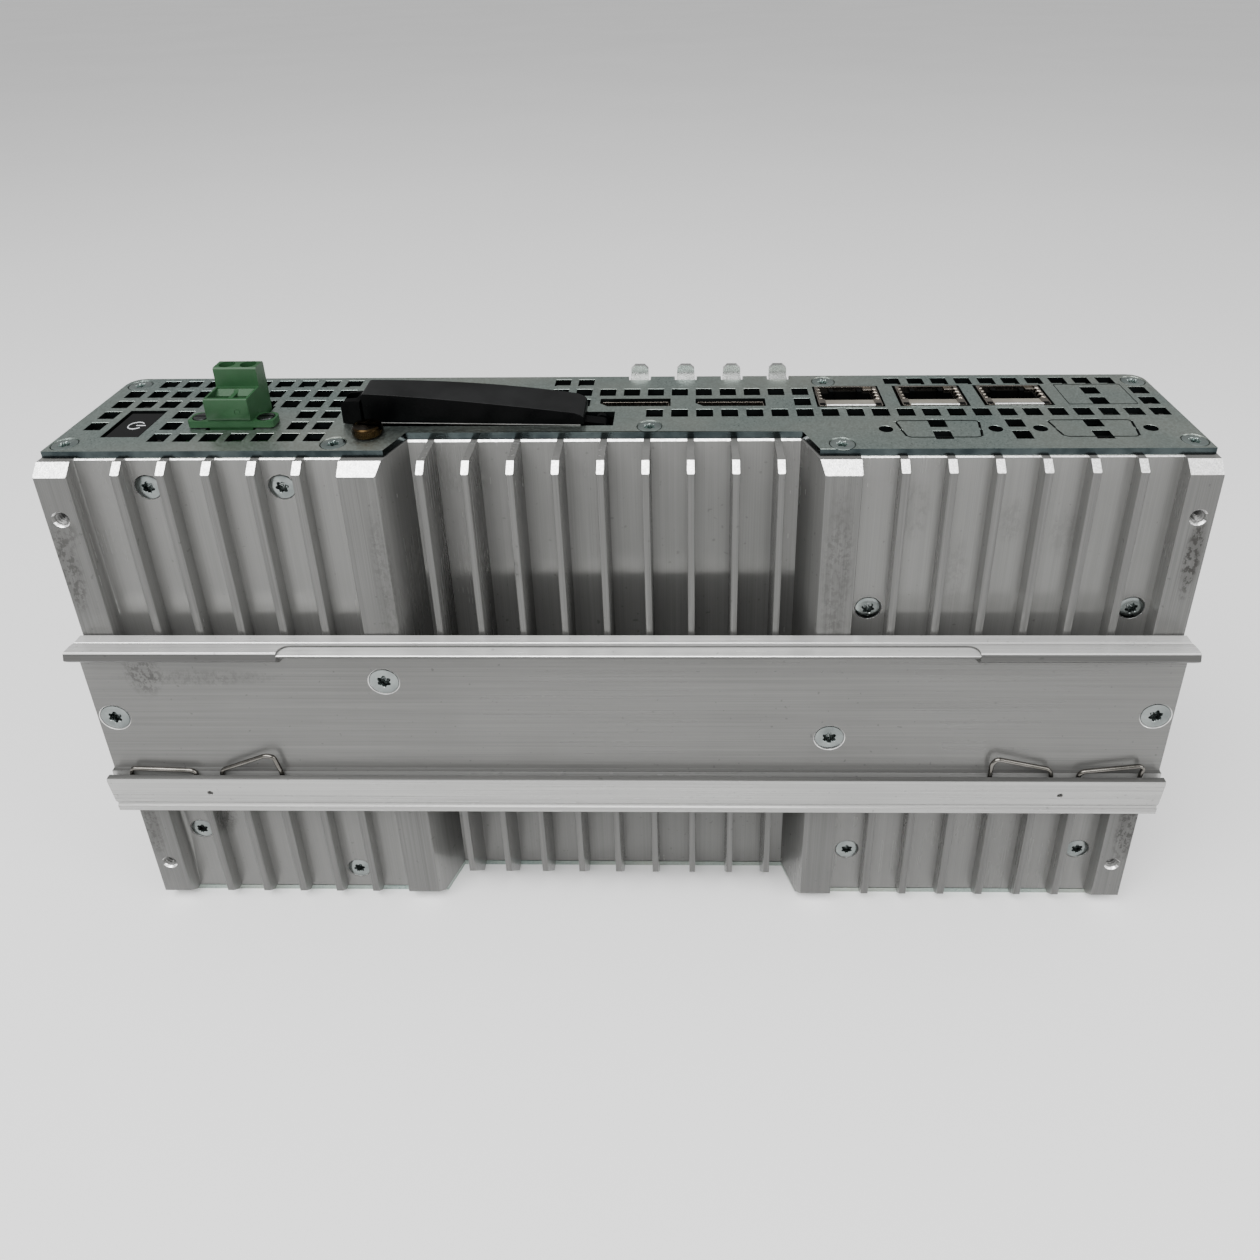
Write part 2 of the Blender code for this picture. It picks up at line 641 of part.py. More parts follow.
def make_terminal():
    """Two-pole flanged plug, its header below the plate, and its clamp and flange screws."""
    low_x = PLUG_X - 5.1
    high_x = PLUG_X + 5.1
    rear = 26.8
    step = 22.3
    place = (PLUG_X, PLUG_FRONT, HEIGHT)
    steps = [(PLUG_FRONT, 131.5), (rear, 131.5), (rear, 152.1), (step, 152.1)]
    steps += [(step, 147.3), (PLUG_FRONT, 147.3)]
    plug = prism("terminal_plug", steps, "X", low_x, high_x, green_plastic(), place)
    bm = bmesh.new()
    outline = rounded(PLUG_X - 10.15, PLUG_FRONT + 0.2, PLUG_X + 10.15, PLUG_EAR_Y + 2.4, 1.2)
    add_prism(bm, outline, "Z", HEIGHT + 0.25, HEIGHT + 1.9)
    join(plug, bm)
    bm = bmesh.new()
    funnel = [(PLUG_FRONT + 0.9, 141.2), (PLUG_FRONT + 5.2, 141.2), (PLUG_FRONT + 5.2, 145.8)]
    funnel += [(step - 0.6, 147.0), (step - 0.6, 148), (PLUG_FRONT + 0.9, 148)]
    for side in (-1, 1):
        x = PLUG_X + side * 2.54
        add_prism(bm, funnel, "X", x - 2.1, x + 2.1)
        well = [(0, -7.5), (1.9, -7.5), (1.9, 1), (0, 1)]
        add_lathe(bm, well, (x, (step + rear) / 2, 152.1), "Z", 16)
        ear = [(0, -3), (1.3, -3), (1.3, -0.9), (2.1, -0.9), (2.1, 1), (0, 1)]
        add_lathe(bm, ear, (PLUG_X + side * PLUG_EAR_X, PLUG_EAR_Y, HEIGHT + 1.9), "Z", 16)
    cut(plug, bm)
    for number, side in ((1, -1), (2, 1)):
        x = PLUG_X + side * 2.54
        slotted_screw(f"clamp_screw_{number}", (x, (step + rear) / 2, 146.4), 1.7, 1.6)
        ear_top = (PLUG_X + side * PLUG_EAR_X, PLUG_EAR_Y, HEIGHT + 2.1)
        slotted_screw(f"flange_screw_{number}", ear_top, 1.9, 0.9, 1.0, 5.0)
    header = box("terminal_header", (-102.3, 13.2, 121.0), (-81.9, 28.6, 137.6), green_plastic())
    bm = bmesh.new()
    cavity = rectangle(low_x - 0.5, PLUG_FRONT - 0.5, high_x + 0.5, rear + 0.5)
    add_prism(bm, cavity, "Z", 129.0, 139)
    for side in (-1, 1):
        nut = [(0, -3), (1.3, -3), (1.3, 2), (0, 2)]
        add_lathe(bm, nut, (PLUG_X + side * PLUG_EAR_X, PLUG_EAR_Y, 137.6), "Z", 10)
    cut(header, bm)


def slotted_screw(name, top, head_r, head_h, shank_r=None, shank=0.0):
    """A screw with a straight slot, its head's top face at top."""
    x, y, z = top
    profile = [(0, 0), (head_r, 0), (head_r, -head_h), (0, -head_h)]
    if shank_r:
        profile = profile[:-1] + [(shank_r, -head_h), (shank_r, -head_h - shank), (0, -head_h - shank)]
    bm = bmesh.new()
    add_lathe(bm, profile, (x, y, z), "Z", 16)
    screw = add_object(name, mesh_from(bm, name, top), zinc_screw(), top)
    bm = bmesh.new()
    add_prism(bm, rectangle(x - 3, y - 0.3, x + 3, y + 0.3), "Z", z - head_h * 0.5, z + 1)
    cut(screw, bm)
    smooth(screw, 30)


def cover_front(x):
    """Front of the slot cover, which stands slightly askew in its slot."""
    left, right = COVER_X_SPAN
    return COVER_FRONT[0] + (COVER_FRONT[1] - COVER_FRONT[0]) * (x - left) / (right - left)


def crest(line, x):
    """Height of the slot cover's top above x, along a (height, fall, power) line."""
    high, fall, power = line
    left, right = COVER_X_SPAN
    return high - fall * ((x - left) / (right - left)) ** power


def make_slot_cover():
    """Cover arched along its top, on an arm that turns about the pin, with the catch beside it."""
    pin_x, pin_z = COVER_PIN
    left, right = COVER_X_SPAN
    low = COVER_LOW
    place = (pin_x, (COVER_FRONT[0] + COVER_REAR) / 2, pin_z)
    end = crest(REAR_CREST, right)
    outline = [(left, low), (right, low), (right, end - 1.6), (right - 0.5, end - 0.5)]
    for i in range(6):
        x = right - 1.4 - (right - left - 2.3) * i / 5
        outline.append((x, crest(REAR_CREST, x)))
    outline.append((left, crest(REAR_CREST, left) - 0.8))
    bm = bmesh.new()
    add_prism(bm, outline, "Y", COVER_FRONT[0], COVER_REAR)
    for vert in bm.verts:
        if vert.co.y < COVER_REAR - 1:
            vert.co.y = cover_front(vert.co.x)
            if vert.co.z > low + 1:
                vert.co.z += crest(FRONT_CREST, vert.co.x) - crest(REAR_CREST, vert.co.x)
    cover = add_object("slot_cover", mesh_from(bm, "slot_cover", place), black_plastic(), place)
    bm = bmesh.new()
    arm = [(-13.0, low + 0.6), (-13.0, low - 2.9), (pin_x - 1.0, pin_z - 1.7)]
    arm += arc((pin_x, pin_z), 1.9, -75, 75, 6)
    arm += [(pin_x - 0.6, pin_z + 1.9), (-9.6, low + 0.1), (-9.6, low + 0.6)]
    add_prism(bm, arm, "Y", 17.8, 21.3)
    join(cover, bm)
    bm = bmesh.new()
    add_lathe(bm, [(0, -5), (1.05, -5), (1.05, 5), (0, 5)], (pin_x, pin_z, 19.4), "Y", 12)
    cut(cover, bm)
    pin = [(0, 17.9), (0.9, 17.9), (0.9, 23.0), (0, 23.0)]
    bm = bmesh.new()
    add_lathe(bm, pin, (pin_x, pin_z, 0), "Y", 12)
    add_object("cover_hinge_pin", mesh_from(bm, "cover_hinge_pin", place), spring_steel(), place)


def make_catch():
    low = COVER_LOW
    x0, x1 = -66.3, COVER_X_SPAN[0] - 0.3
    catch = [(x0, low), (x1, low), (x1, 145.4), (x1 - 0.8, 145.7), (x0 + 0.7, 145.5), (x0, 144.6)]
    prism("cover_catch", catch, "Y", 17.2, 23.1, black_plastic())


def make_card_cage():
    """Guide below the slot, with the lug that holds the hinge pin and the ear for the thumb screw."""
    top = PLATE_LOW - GAP
    cage = box("card_cage", (-66.5, 16.3, 96.0), (-2.0, 23.3, top), black_plastic())
    bm = bmesh.new()
    add_prism(bm, rectangle(-63.0, 17.6, -15.0, 21.9), "Z", 99.0, 139)
    cut(cage, bm)
    bm = bmesh.new()
    add_prism(bm, rectangle(-15.5, 17.3, -1.0, 21.6), "Z", 130.0, 139)
    cut(cage, bm)
    bm = bmesh.new()
    lug = [(-8.2, 133.0), (-3.8, 133.0), (-3.8, COVER_PIN[1])]
    lug += arc(COVER_PIN, 2.1, 0, 180, 6) + [(-8.2, COVER_PIN[1])]
    add_prism(bm, lug, "Y", 21.75, 23.2)
    x, y = THUMB_SCREW
    add_prism(bm, rectangle(x - 4.5, y - 1.4, x + 2.3, 17.0), "Z", 130.0, top)
    join(cage, bm)
    bm = bmesh.new()
    add_lathe(bm, [(0, 20), (1.1, 20), (1.1, 25), (0, 25)], (*COVER_PIN, 0), "Y", 12)
    cut(cage, bm)
    box("memory_card", (-60.4, 18.0, 99.4), (-17.6, 21.5, 135.8), chip_black())


def make_thumb_screw():
    x, y = THUMB_SCREW
    top = HEIGHT + 2.6
    place = (x, y, HEIGHT)
    bm = bmesh.new()
    profile = [(0, 0), (THUMB_R - 0.5, 0), (THUMB_R, -0.5), (THUMB_R, -1.9), (THUMB_R - 0.4, -2.3)]
    profile += [(1.3, -2.3), (1.3, -4.0), (0.95, -4.2), (0.95, -9.5), (0, -9.5)]
    add_lathe(bm, profile, (x, y, top), "Z", 28)
    screw = add_object("thumb_screw", mesh_from(bm, "thumb_screw", place), brass(), place)
    bm = bmesh.new()
    add_prism(bm, rectangle(x - 5, y - 0.45, x + 5, y + 0.45), "Z", top - 1.1, top + 1)
    cut(screw, bm)
    smooth(screw, 30)


def clear_thumb_screw_ear():
    cage = bpy.data.objects["card_cage"]
    bm = bmesh.new()
    x, y = THUMB_SCREW
    add_lathe(bm, [(0, 128), (1.25, 128), (1.25, 140), (0, 140)], (x, y, 0), "Z", 10)
    cut(cage, bm)


def make_display_sockets():
    for number, (x0, y0, x1, y1) in enumerate(DISPLAY_HOLES, 1):
        inset = 0.3
        outline = [(x0 + inset, y0 + 1.9), (x0 + 2.0, y0 + inset), (x1 - inset, y0 + inset)]
        outline += [(x1 - inset, y1 - inset), (x0 + inset, y1 - inset)]
        top = HEIGHT - 0.7
        name = f"display_socket_{number}"
        socket = prism(name, outline, "Z", 118.0, top, nickel())
        wall = 0.45
        bm = bmesh.new()
        inner = [(x0 + inset + wall, y0 + 2.05), (x0 + 2.2, y0 + inset + wall)]
        inner += [(x1 - inset - wall, y0 + inset + wall), (x1 - inset - wall, y1 - inset - wall)]
        inner += [(x0 + inset + wall, y1 - inset - wall)]
        add_prism(bm, inner, "Z", 126.0, HEIGHT + 1)
        cut(socket, bm)
        bm = bmesh.new()
        middle = (y0 + y1) / 2
        add_prism(bm, rectangle(x0 + 2.6, middle - 0.3, x1 - 1.8, middle + 0.3), "Z", 124.0, 136.0)
        join(socket, bm)


def make_network_jacks():
    for number, (x0, y0, x1, y1) in enumerate(JACK_HOLES, 1):
        centre = (x0 + x1) / 2
        shell = (centre - 7.7, y0 + 0.45, centre + 7.7, y1 - 0.35)
        name = f"network_jack_{number}"
        jack = prism(name, rectangle(*shell), "Z", 117.0, HEIGHT + 0.1, nickel())
        bm = bmesh.new()
        add_prism(bm, rectangle(centre - 5.9, y0 + 4.2, centre + 5.9, y1 - 2.2), "Z", 124.5, 141)
        cut(jack, bm)
        bm = bmesh.new()
        add_prism(bm, rectangle(centre - 3.0, y1 - 2.6, centre + 3.0, y1 - 1.0), "Z", 126.5, 141)
        cut(jack, bm)
        bm = bmesh.new()
        add_prism(bm, rectangle(centre - 4.6, y0 + 3.8, centre + 4.6, y0 + 5.0), "Z", 124.0, 134.5)
        join(jack, bm)


def make_electronics():
    """Boards and parts in the housing, behind the heatsink."""
    board_y = 24.1
    outline = [(-122, 10), (122, 10), (122, 129), (43, 129), (43, 116), (-78, 116), (-78, 92), (-122, 92)]
    board = prism("mainboard", outline, "Y", board_y, board_y + 1.5, circuit_board())
    bm = bmesh.new()
    for x, z in ((-110, 20), (110, 20), (110, 90), (-70, 84)):
        add_lathe(bm, [(0, -1), (1.6, -1), (1.6, 3), (0, 3)], (x, z, board_y), "Y", 10)
    cut(board, bm)
    box("processor", (-34, 22.3, 52), (-4, 23.8, 82), chip_black())
    box("heat_spreader", (-38, RECESS_INNER_Y + 0.3, 48), (0, 22.0, 86), copper())
    box("memory_module", (30, board_y + 1.8, 40), (98, board_y + 6.0, 70), circuit_board())
    box("storage_drive", (-112, board_y + 5.0, 14), (-42, board_y + 12.0, 84), bracket_aluminium())
    bm = bmesh.new()
    add_lathe(bm, [(0, 0), (10, 0), (10, 3.2), (0, 3.2)], (75, 95, board_y + 2.0), "Y", 24)
    cell = add_object("backup_battery", mesh_from(bm, "backup_battery"), nickel())
    smooth(cell)
    box("power_board", (-124, 20.6, 94), (-70, 22.1, 118), circuit_board())
    box("power_inductor", (-118, 11.0, 98), (-104, 20.3, 112), chip_black())
    bm = bmesh.new()
    add_lathe(bm, [(0, 0), (4.9, 0), (4.9, 9), (0, 9)], (-93, 104, 11.3), "Y", 20)
    can = add_object("input_capacitor", mesh_from(bm, "input_capacitor"), bracket_aluminium())
    smooth(can)
    box("network_controller", (60, board_y + 1.8, 78), (60 + 9, board_y + 3.0, 87), chip_black())


def build():
    global assembly
    clear_scene()
    assembly = bpy.data.objects.new("assembly", None)
    bpy.context.scene.collection.objects.link(assembly)
    make_heatsink()
    make_interface_plate()
    make_base_plate()
    make_rear_cover()
    make_bracket()
    make_springs()
    make_fasteners()
    make_power_button()
    make_terminal()
    make_slot_cover()
    make_catch()
    make_card_cage()
    make_thumb_screw()
    clear_thumb_screw_ear()
    make_display_sockets()
    make_network_jacks()
    make_electronics()
    assembly.location = Vector((0, -CENTRE_Y, 0)) * MM


build()
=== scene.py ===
"""Looks of the fanless box controller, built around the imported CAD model.

Lengths of the object are in millimetres, in the frame of the CAD model, and become metres where a mesh
or a material is made. The scales of noise, the lights and the camera are in metres.
FRONT is the front plane of the heatsink, and TOP is the upper face of the connector plate.
"""

import math

import bmesh
import bpy
from mathutils import Matrix, Vector


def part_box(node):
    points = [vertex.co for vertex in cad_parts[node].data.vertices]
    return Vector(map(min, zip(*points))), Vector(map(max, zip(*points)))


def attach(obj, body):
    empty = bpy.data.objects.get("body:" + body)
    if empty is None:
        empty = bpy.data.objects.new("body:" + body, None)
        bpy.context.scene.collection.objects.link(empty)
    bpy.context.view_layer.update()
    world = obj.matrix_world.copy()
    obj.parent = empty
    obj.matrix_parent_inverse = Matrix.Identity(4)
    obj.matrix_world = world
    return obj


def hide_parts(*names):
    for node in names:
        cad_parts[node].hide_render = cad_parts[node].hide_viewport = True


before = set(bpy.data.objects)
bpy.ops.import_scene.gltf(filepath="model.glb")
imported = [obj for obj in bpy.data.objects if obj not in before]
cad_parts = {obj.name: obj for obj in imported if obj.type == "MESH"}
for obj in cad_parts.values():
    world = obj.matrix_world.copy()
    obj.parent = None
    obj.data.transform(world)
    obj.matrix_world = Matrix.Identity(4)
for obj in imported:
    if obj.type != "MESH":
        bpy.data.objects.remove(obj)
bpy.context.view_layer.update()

MM = 0.001


def box_mm(node):
    low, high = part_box(node)
    return low / MM, high / MM


SINK_LOW, SINK_HIGH = box_mm("heatsink")
PLATE_LOW, PLATE_HIGH = box_mm("interface_plate")
BRACKET_LOW, BRACKET_HIGH = box_mm("din_rail_bracket")
FRONT = SINK_LOW.y
TOP = PLATE_HIGH.z
SCREW_COUNTS = {"plate_screw": 8, "body_screw": 8, "bracket_screw": 4}
JACK_COUNT = 3
DISPLAY_COUNT = 2
WIRE_RADIUS = 0.55
CAMERA_PLACE = (0.0147, -0.2047, 0.2404)
CAMERA_TURN = (-1.18, 24.33, 0.75)


# ---- shading

def new_tree(name):
    made = bpy.data.materials.new(name)
    made.use_nodes = True
    return made, made.node_tree, made.node_tree.nodes["Principled BSDF"]


def add_node(tree, kind, **settings):
    node = tree.nodes.new(kind)
    for key, value in settings.items():
        setattr(node, key, value)
    return node


def noise(tree, scale, detail=2.0, rough=0.5):
    """Noise in object space, with its own number of features per metre along each axis."""
    place = add_node(tree, "ShaderNodeTexCoord")
    mapping = add_node(tree, "ShaderNodeMapping")
    mapping.inputs["Scale"].default_value = scale
    texture = add_node(tree, "ShaderNodeTexNoise")
    texture.inputs["Scale"].default_value = 1.0
    texture.inputs["Detail"].default_value = detail
    texture.inputs["Roughness"].default_value = rough
    tree.links.new(place.outputs["Object"], mapping.inputs["Vector"])
    tree.links.new(mapping.outputs["Vector"], texture.inputs["Vector"])
    return texture.outputs["Fac"]


def span(tree, value, low, high, to_low=0.0, to_high=1.0):
    """Maps low..high of a value to another range, clamped."""
    node = add_node(tree, "ShaderNodeMapRange")
    node.inputs["From Min"].default_value = low
    node.inputs["From Max"].default_value = high
    node.inputs["To Min"].default_value = to_low
    node.inputs["To Max"].default_value = to_high
    tree.links.new(value, node.inputs["Value"])
    return node.outputs["Result"]


def maths(tree, operation, a, b):
    """A sum, product or maximum of two values, each a number or a socket."""
    node = add_node(tree, "ShaderNodeMath", operation=operation)
    for socket, value in zip(node.inputs, (a, b)):
        if isinstance(value, (int, float)):
            socket.default_value = value
        else:
            tree.links.new(value, socket)
    return node.outputs["Value"]


def mix(tree, factor, a, b, blend="MIX"):
    node = add_node(tree, "ShaderNodeMix", data_type="RGBA", blend_type=blend)
    for socket, value in ((node.inputs[0], factor), (node.inputs[6], a), (node.inputs[7], b)):
        if isinstance(value, tuple):
            socket.default_value = (*value, 1.0)
        elif isinstance(value, (int, float)):
            socket.default_value = value
        else:
            tree.links.new(value, socket)
    return node.outputs[2]


def dress(tree, shader, colour, rough, height, distance):
    """Feeds a shader its colour and its roughness, and a bump from a height."""
    tree.links.new(colour, shader.inputs["Base Color"])
    tree.links.new(rough, shader.inputs["Roughness"])
    node = add_node(tree, "ShaderNodeBump")
    node.inputs["Distance"].default_value = distance
    tree.links.new(height, node.inputs["Height"])
    tree.links.new(node.outputs["Normal"], shader.inputs["Normal"])


def patch(tree, centre, size):
    """One at the middle of an ellipsoid given in millimetres, falling to zero at its surface."""
    place = add_node(tree, "ShaderNodeTexCoord")
    shift = add_node(tree, "ShaderNodeVectorMath", operation="SUBTRACT")
    shift.inputs[1].default_value = [value * MM for value in centre]
    stretch = add_node(tree, "ShaderNodeVectorMath", operation="DIVIDE")
    stretch.inputs[1].default_value = [value * MM for value in size]
    reach = add_node(tree, "ShaderNodeVectorMath", operation="LENGTH")
    tree.links.new(place.outputs["Object"], shift.inputs[0])
    tree.links.new(shift.outputs[0], stretch.inputs[0])
    tree.links.new(stretch.outputs[0], reach.inputs[0])
    return span(tree, reach.outputs["Value"], 0.55, 1.0, 1.0, 0.0)


def soiled(tree, colour, spots, dirt):
    """Darkens a colour with speckled grime inside each of some (centre, size, strength) patches."""
    speckle = noise(tree, (900, 900, 620), 5.0, 0.7)
    broken = span(tree, speckle, 0.47, 0.54)
    haze = noise(tree, (150, 150, 70), 3.0, 0.6)
    for centre, size, strength in spots:
        inside = patch(tree, centre, size)
        marks = maths(tree, "MULTIPLY", inside, maths(tree, "MULTIPLY", broken, strength))
        veil = maths(tree, "MULTIPLY", inside, span(tree, haze, 0.30, 0.6, 0.0, strength * 0.55))
        colour = mix(tree, maths(tree, "MAXIMUM", marks, veil), colour, dirt)
    return colour


def brushed_metal(name, dark, light, along, roughness, metallic=0.5, spots=()):
    """Metal with fine lines along one axis, sharp along them and blurred across, with marks and pits."""
    made, tree, shader = new_tree(name)
    shader.inputs["Metallic"].default_value = metallic
    shader.inputs["Anisotropic"].default_value = 0.75
    shader.inputs["Specular IOR Level"].default_value = 0.25
    tangent = add_node(tree, "ShaderNodeTangent", direction_type="RADIAL", axis=along)
    tree.links.new(tangent.outputs["Tangent"], shader.inputs["Tangent"])
    axis = "XYZ".index(along)
    fine_scale = [5200.0] * 3
    fine_scale[axis] = 22.0
    wide_scale = [900.0] * 3
    wide_scale[axis] = 7.0
    fine = noise(tree, fine_scale, 2.0, 0.6)
    wide = noise(tree, wide_scale, 2.0, 0.5)
    drawn = maths(tree, "ADD", maths(tree, "MULTIPLY", fine, 0.6), maths(tree, "MULTIPLY", wide, 0.4))
    handled = noise(tree, (16, 16, 16), 5.0, 0.6)
    specks = noise(tree, (800, 800, 800), 1.0, 0.4)
    colour = mix(tree, span(tree, drawn, 0.34, 0.66), dark, light)
    colour = mix(tree, span(tree, handled, 0.45, 0.72, 0.0, 0.22), colour, tuple(c * 0.72 for c in dark))
    colour = mix(tree, span(tree, specks, 0.73, 0.78, 0.0, 0.4), colour, tuple(c * 0.4 for c in dark))
    colour = soiled(tree, colour, spots, (0.030, 0.029, 0.027))
    base = span(tree, wide, 0.35, 0.65, roughness - 0.015, roughness + 0.02)
    worn = span(tree, handled, 0.4, 0.7, 0.0, 0.08)
    dress(tree, shader, colour, maths(tree, "ADD", base, worn), drawn, 0.000002)
    return made


def milled_highlight_metal():
    """Fresh cuts left by a cutter, with a coarse sparkle; their bright colour is partly their own and partly
    a painted highlight.
    """
    made, tree, shader = new_tree("milled_highlight_look")
    shader.inputs["Metallic"].default_value = 0.9
    sparkle = noise(tree, (2600, 2600, 2600), 2.0, 0.6)
    marks = noise(tree, (900, 900, 900), 2.0, 0.5)
    colour = mix(tree, span(tree, sparkle, 0.38, 0.62), (0.66, 0.66, 0.65), (1.0, 1.0, 0.99))
    dress(tree, shader, colour, span(tree, marks, 0.35, 0.65, 0.28, 0.42), sparkle, 0.00004)
    return made


def zinc_sheet():
    """Passivated zinc: a blue-green cast that wanders, fine spangle and a soft sheen."""
    made, tree, shader = new_tree("zinc_sheet_look")
    shader.inputs["Metallic"].default_value = 1.0
    cast = noise(tree, (22, 30, 22), 3.0, 0.55)
    spangle = noise(tree, (2300, 2300, 2300), 2.0, 0.6)
    colour = mix(tree, span(tree, cast, 0.35, 0.65), (0.245, 0.312, 0.292), (0.332, 0.352, 0.312))
    colour = mix(tree, span(tree, spangle, 0.40, 0.66, 0.0, 0.55), colour, (0.44, 0.51, 0.485))
    rough = span(tree, spangle, 0.3, 0.7, 0.24, 0.40)
    dull = span(tree, cast, 0.3, 0.7, 0.0, 0.08)
    dress(tree, shader, colour, maths(tree, "ADD", rough, dull), spangle, 0.000012)
    return made


def plated(name, dark, light, roughness, grains=1500.0):
    """Plated or bare bright metal, with a fine grain and a colour that wanders a little."""
    made, tree, shader = new_tree(name)
    shader.inputs["Metallic"].default_value = 1.0
    cloud = noise(tree, (140, 140, 140), 4.0, 0.6)
    grain = noise(tree, (grains, grains, grains), 2.0, 0.5)
    colour = mix(tree, span(tree, cloud, 0.35, 0.65), dark, light)
    rough = span(tree, grain, 0.3, 0.7, roughness - 0.06, roughness + 0.06)
    dress(tree, shader, colour, rough, grain, 0.000004)
    return made


def moulded(name, dark, light, roughness, specular=0.3, grain=0.000012):
    """Moulded plastic with a spark-eroded grain and slightly uneven colour."""
    made, tree, shader = new_tree(name)
    shader.inputs["Specular IOR Level"].default_value = specular
    cloud = noise(tree, (120, 120, 120), 4.0, 0.55)
    fine = noise(tree, (1800, 1800, 1800), 2.0, 0.5)
    colour = mix(tree, span(tree, cloud, 0.35, 0.65), dark, light)
    rough = maths(tree, "ADD", span(tree, cloud, 0.35, 0.65, -0.05, 0.05), roughness)
    dress(tree, shader, colour, rough, fine, grain)
    return made


def circuit_board():
    """Green solder mask over a grid of traces."""
    made, tree, shader = new_tree("circuit_board_look")
    place = add_node(tree, "ShaderNodeTexCoord")
    traces = add_node(tree, "ShaderNodeTexBrick")
    traces.inputs["Scale"].default_value = 160.0
    traces.inputs["Mortar Size"].default_value = 0.03
    tree.links.new(place.outputs["Object"], traces.inputs["Vector"])
    cloud = noise(tree, (60, 60, 60), 3.0, 0.5)
    mask = mix(tree, span(tree, cloud, 0.3, 0.7), (0.008, 0.05, 0.022), (0.014, 0.085, 0.035))
    colour = mix(tree, maths(tree, "MULTIPLY", traces.outputs["Fac"], 0.5), mask, (0.05, 0.22, 0.09))
    dress(tree, shader, colour, span(tree, cloud, 0.3, 0.7, 0.30, 0.45), traces.outputs["Fac"], 0.00003)
    return made


HANDLING_MARKS = (
    ((128.3, FRONT, 114.0), (2.4, 4.0, 13.0), 1.0),
    ((-129.2, FRONT, 110.0), (3.6, 4.0, 13.0), 0.70),
    ((129.0, FRONT, 30.0), (3.6, 4.0, 15.0), 0.9),
    ((-129.3, FRONT, 30.0), (3.4, 4.0, 14.0), 0.7),
    ((-127.5, FRONT, 121.0), (4.0, 4.0, 5.0), 0.45),
    ((-112.0, FRONT + 4.0, 30.0), (5.0, 4.0, 9.0), 0.6),
    ((-56.0, FRONT, 108.0), (2.8, 3.0, 24.0), 0.30),
    ((48.5, FRONT, 110.0), (4.2, 3.0, 26.0), 0.42),
    ((-26.0, FRONT, 110.0), (2.0, 2.0, 4.0), 0.6),
    ((66.0, FRONT + 4.0, 124.0), (4.0, 3.0, 9.0), 0.22),
    ((76.0, FRONT + 4.0, 108.0), (4.0, 3.0, 11.0), 0.20),
    ((88.0, FRONT + 4.0, 121.0), (3.6, 3.0, 7.0), 0.20),
    ((100.0, FRONT + 4.0, 118.0), (3.6, 3.0, 8.0), 0.18),
)
WEB_MARKS = (
    ((-117.0, FRONT - 3.0, 84.0), (5.0, 2.0, 9.0), 0.55),
    ((-104.0, FRONT - 3.0, 82.0), (22.0, 2.0, 3.0), 0.30),
    ((112.0, FRONT - 7.0, 47.0), (9.0, 2.0, 4.0), 0.35),
)
BRUSHED = {
    "sink": ((0.146, 0.146, 0.141), (0.178, 0.178, 0.172), "Z", 0.21, 0.38, HANDLING_MARKS),
    # A darker copy of the sink's aluminium for its front faces: painted shade.
    "shaded_front": ((0.088, 0.088, 0.085), (0.132, 0.132, 0.128), "Z", 0.32, 0.35, HANDLING_MARKS),
    "bracket": ((0.120, 0.120, 0.116), (0.165, 0.165, 0.159), "X", 0.28, 0.5, WEB_MARKS),
    # A lighter copy for the band's front faces: painted light.
    "lit_band": ((0.28, 0.28, 0.273), (0.42, 0.42, 0.41), "X", 0.26, 0.5),
    # A bright copy for the lip's top and the bracket screw countersinks: painted light.
    "lit_crown": ((0.60, 0.60, 0.59), (0.80, 0.80, 0.79), "X", 0.24, 0.6),
    # A dark copy for the ledge's top and the lip's front: painted shade.
    "shaded_shelf": ((0.066, 0.066, 0.064), (0.094, 0.094, 0.091), "X", 0.30, 0.45),
    "alloy": ((0.12, 0.12, 0.118), (0.20, 0.20, 0.195), "X", 0.35, 0.7),
}
PLATED = {
    # The plate's front faces: the sheared steel's own darker tone, deepened by painted shade.
    "shaded_sheared_edge": ((0.020, 0.027, 0.029), (0.054, 0.067, 0.068), 0.20),
    "lug": ((0.50, 0.51, 0.50), (0.66, 0.67, 0.66), 0.30),
    "screw": ((0.145, 0.162, 0.160), (0.250, 0.272, 0.265), 0.20),
    "plate_screw": ((0.24, 0.29, 0.28), (0.40, 0.46, 0.44), 0.20),
    # Near-black for the slotted screw heads in the plug's wells: painted shade.
    "well_shaded_steel": ((0.030, 0.034, 0.034), (0.070, 0.076, 0.075), 0.30),
    "spring": ((0.11, 0.105, 0.095), (0.20, 0.19, 0.175), 0.20),
    "nickel": ((0.20, 0.18, 0.155), (0.33, 0.30, 0.26), 0.24),
    "gold": ((0.30, 0.19, 0.07), (0.48, 0.32, 0.13), 0.25),
    "brass": ((0.015, 0.0095, 0.004), (0.035, 0.0225, 0.010), 0.24, 900.0),
    "copper": ((0.50, 0.24, 0.14), (0.64, 0.33, 0.20), 0.32),
}
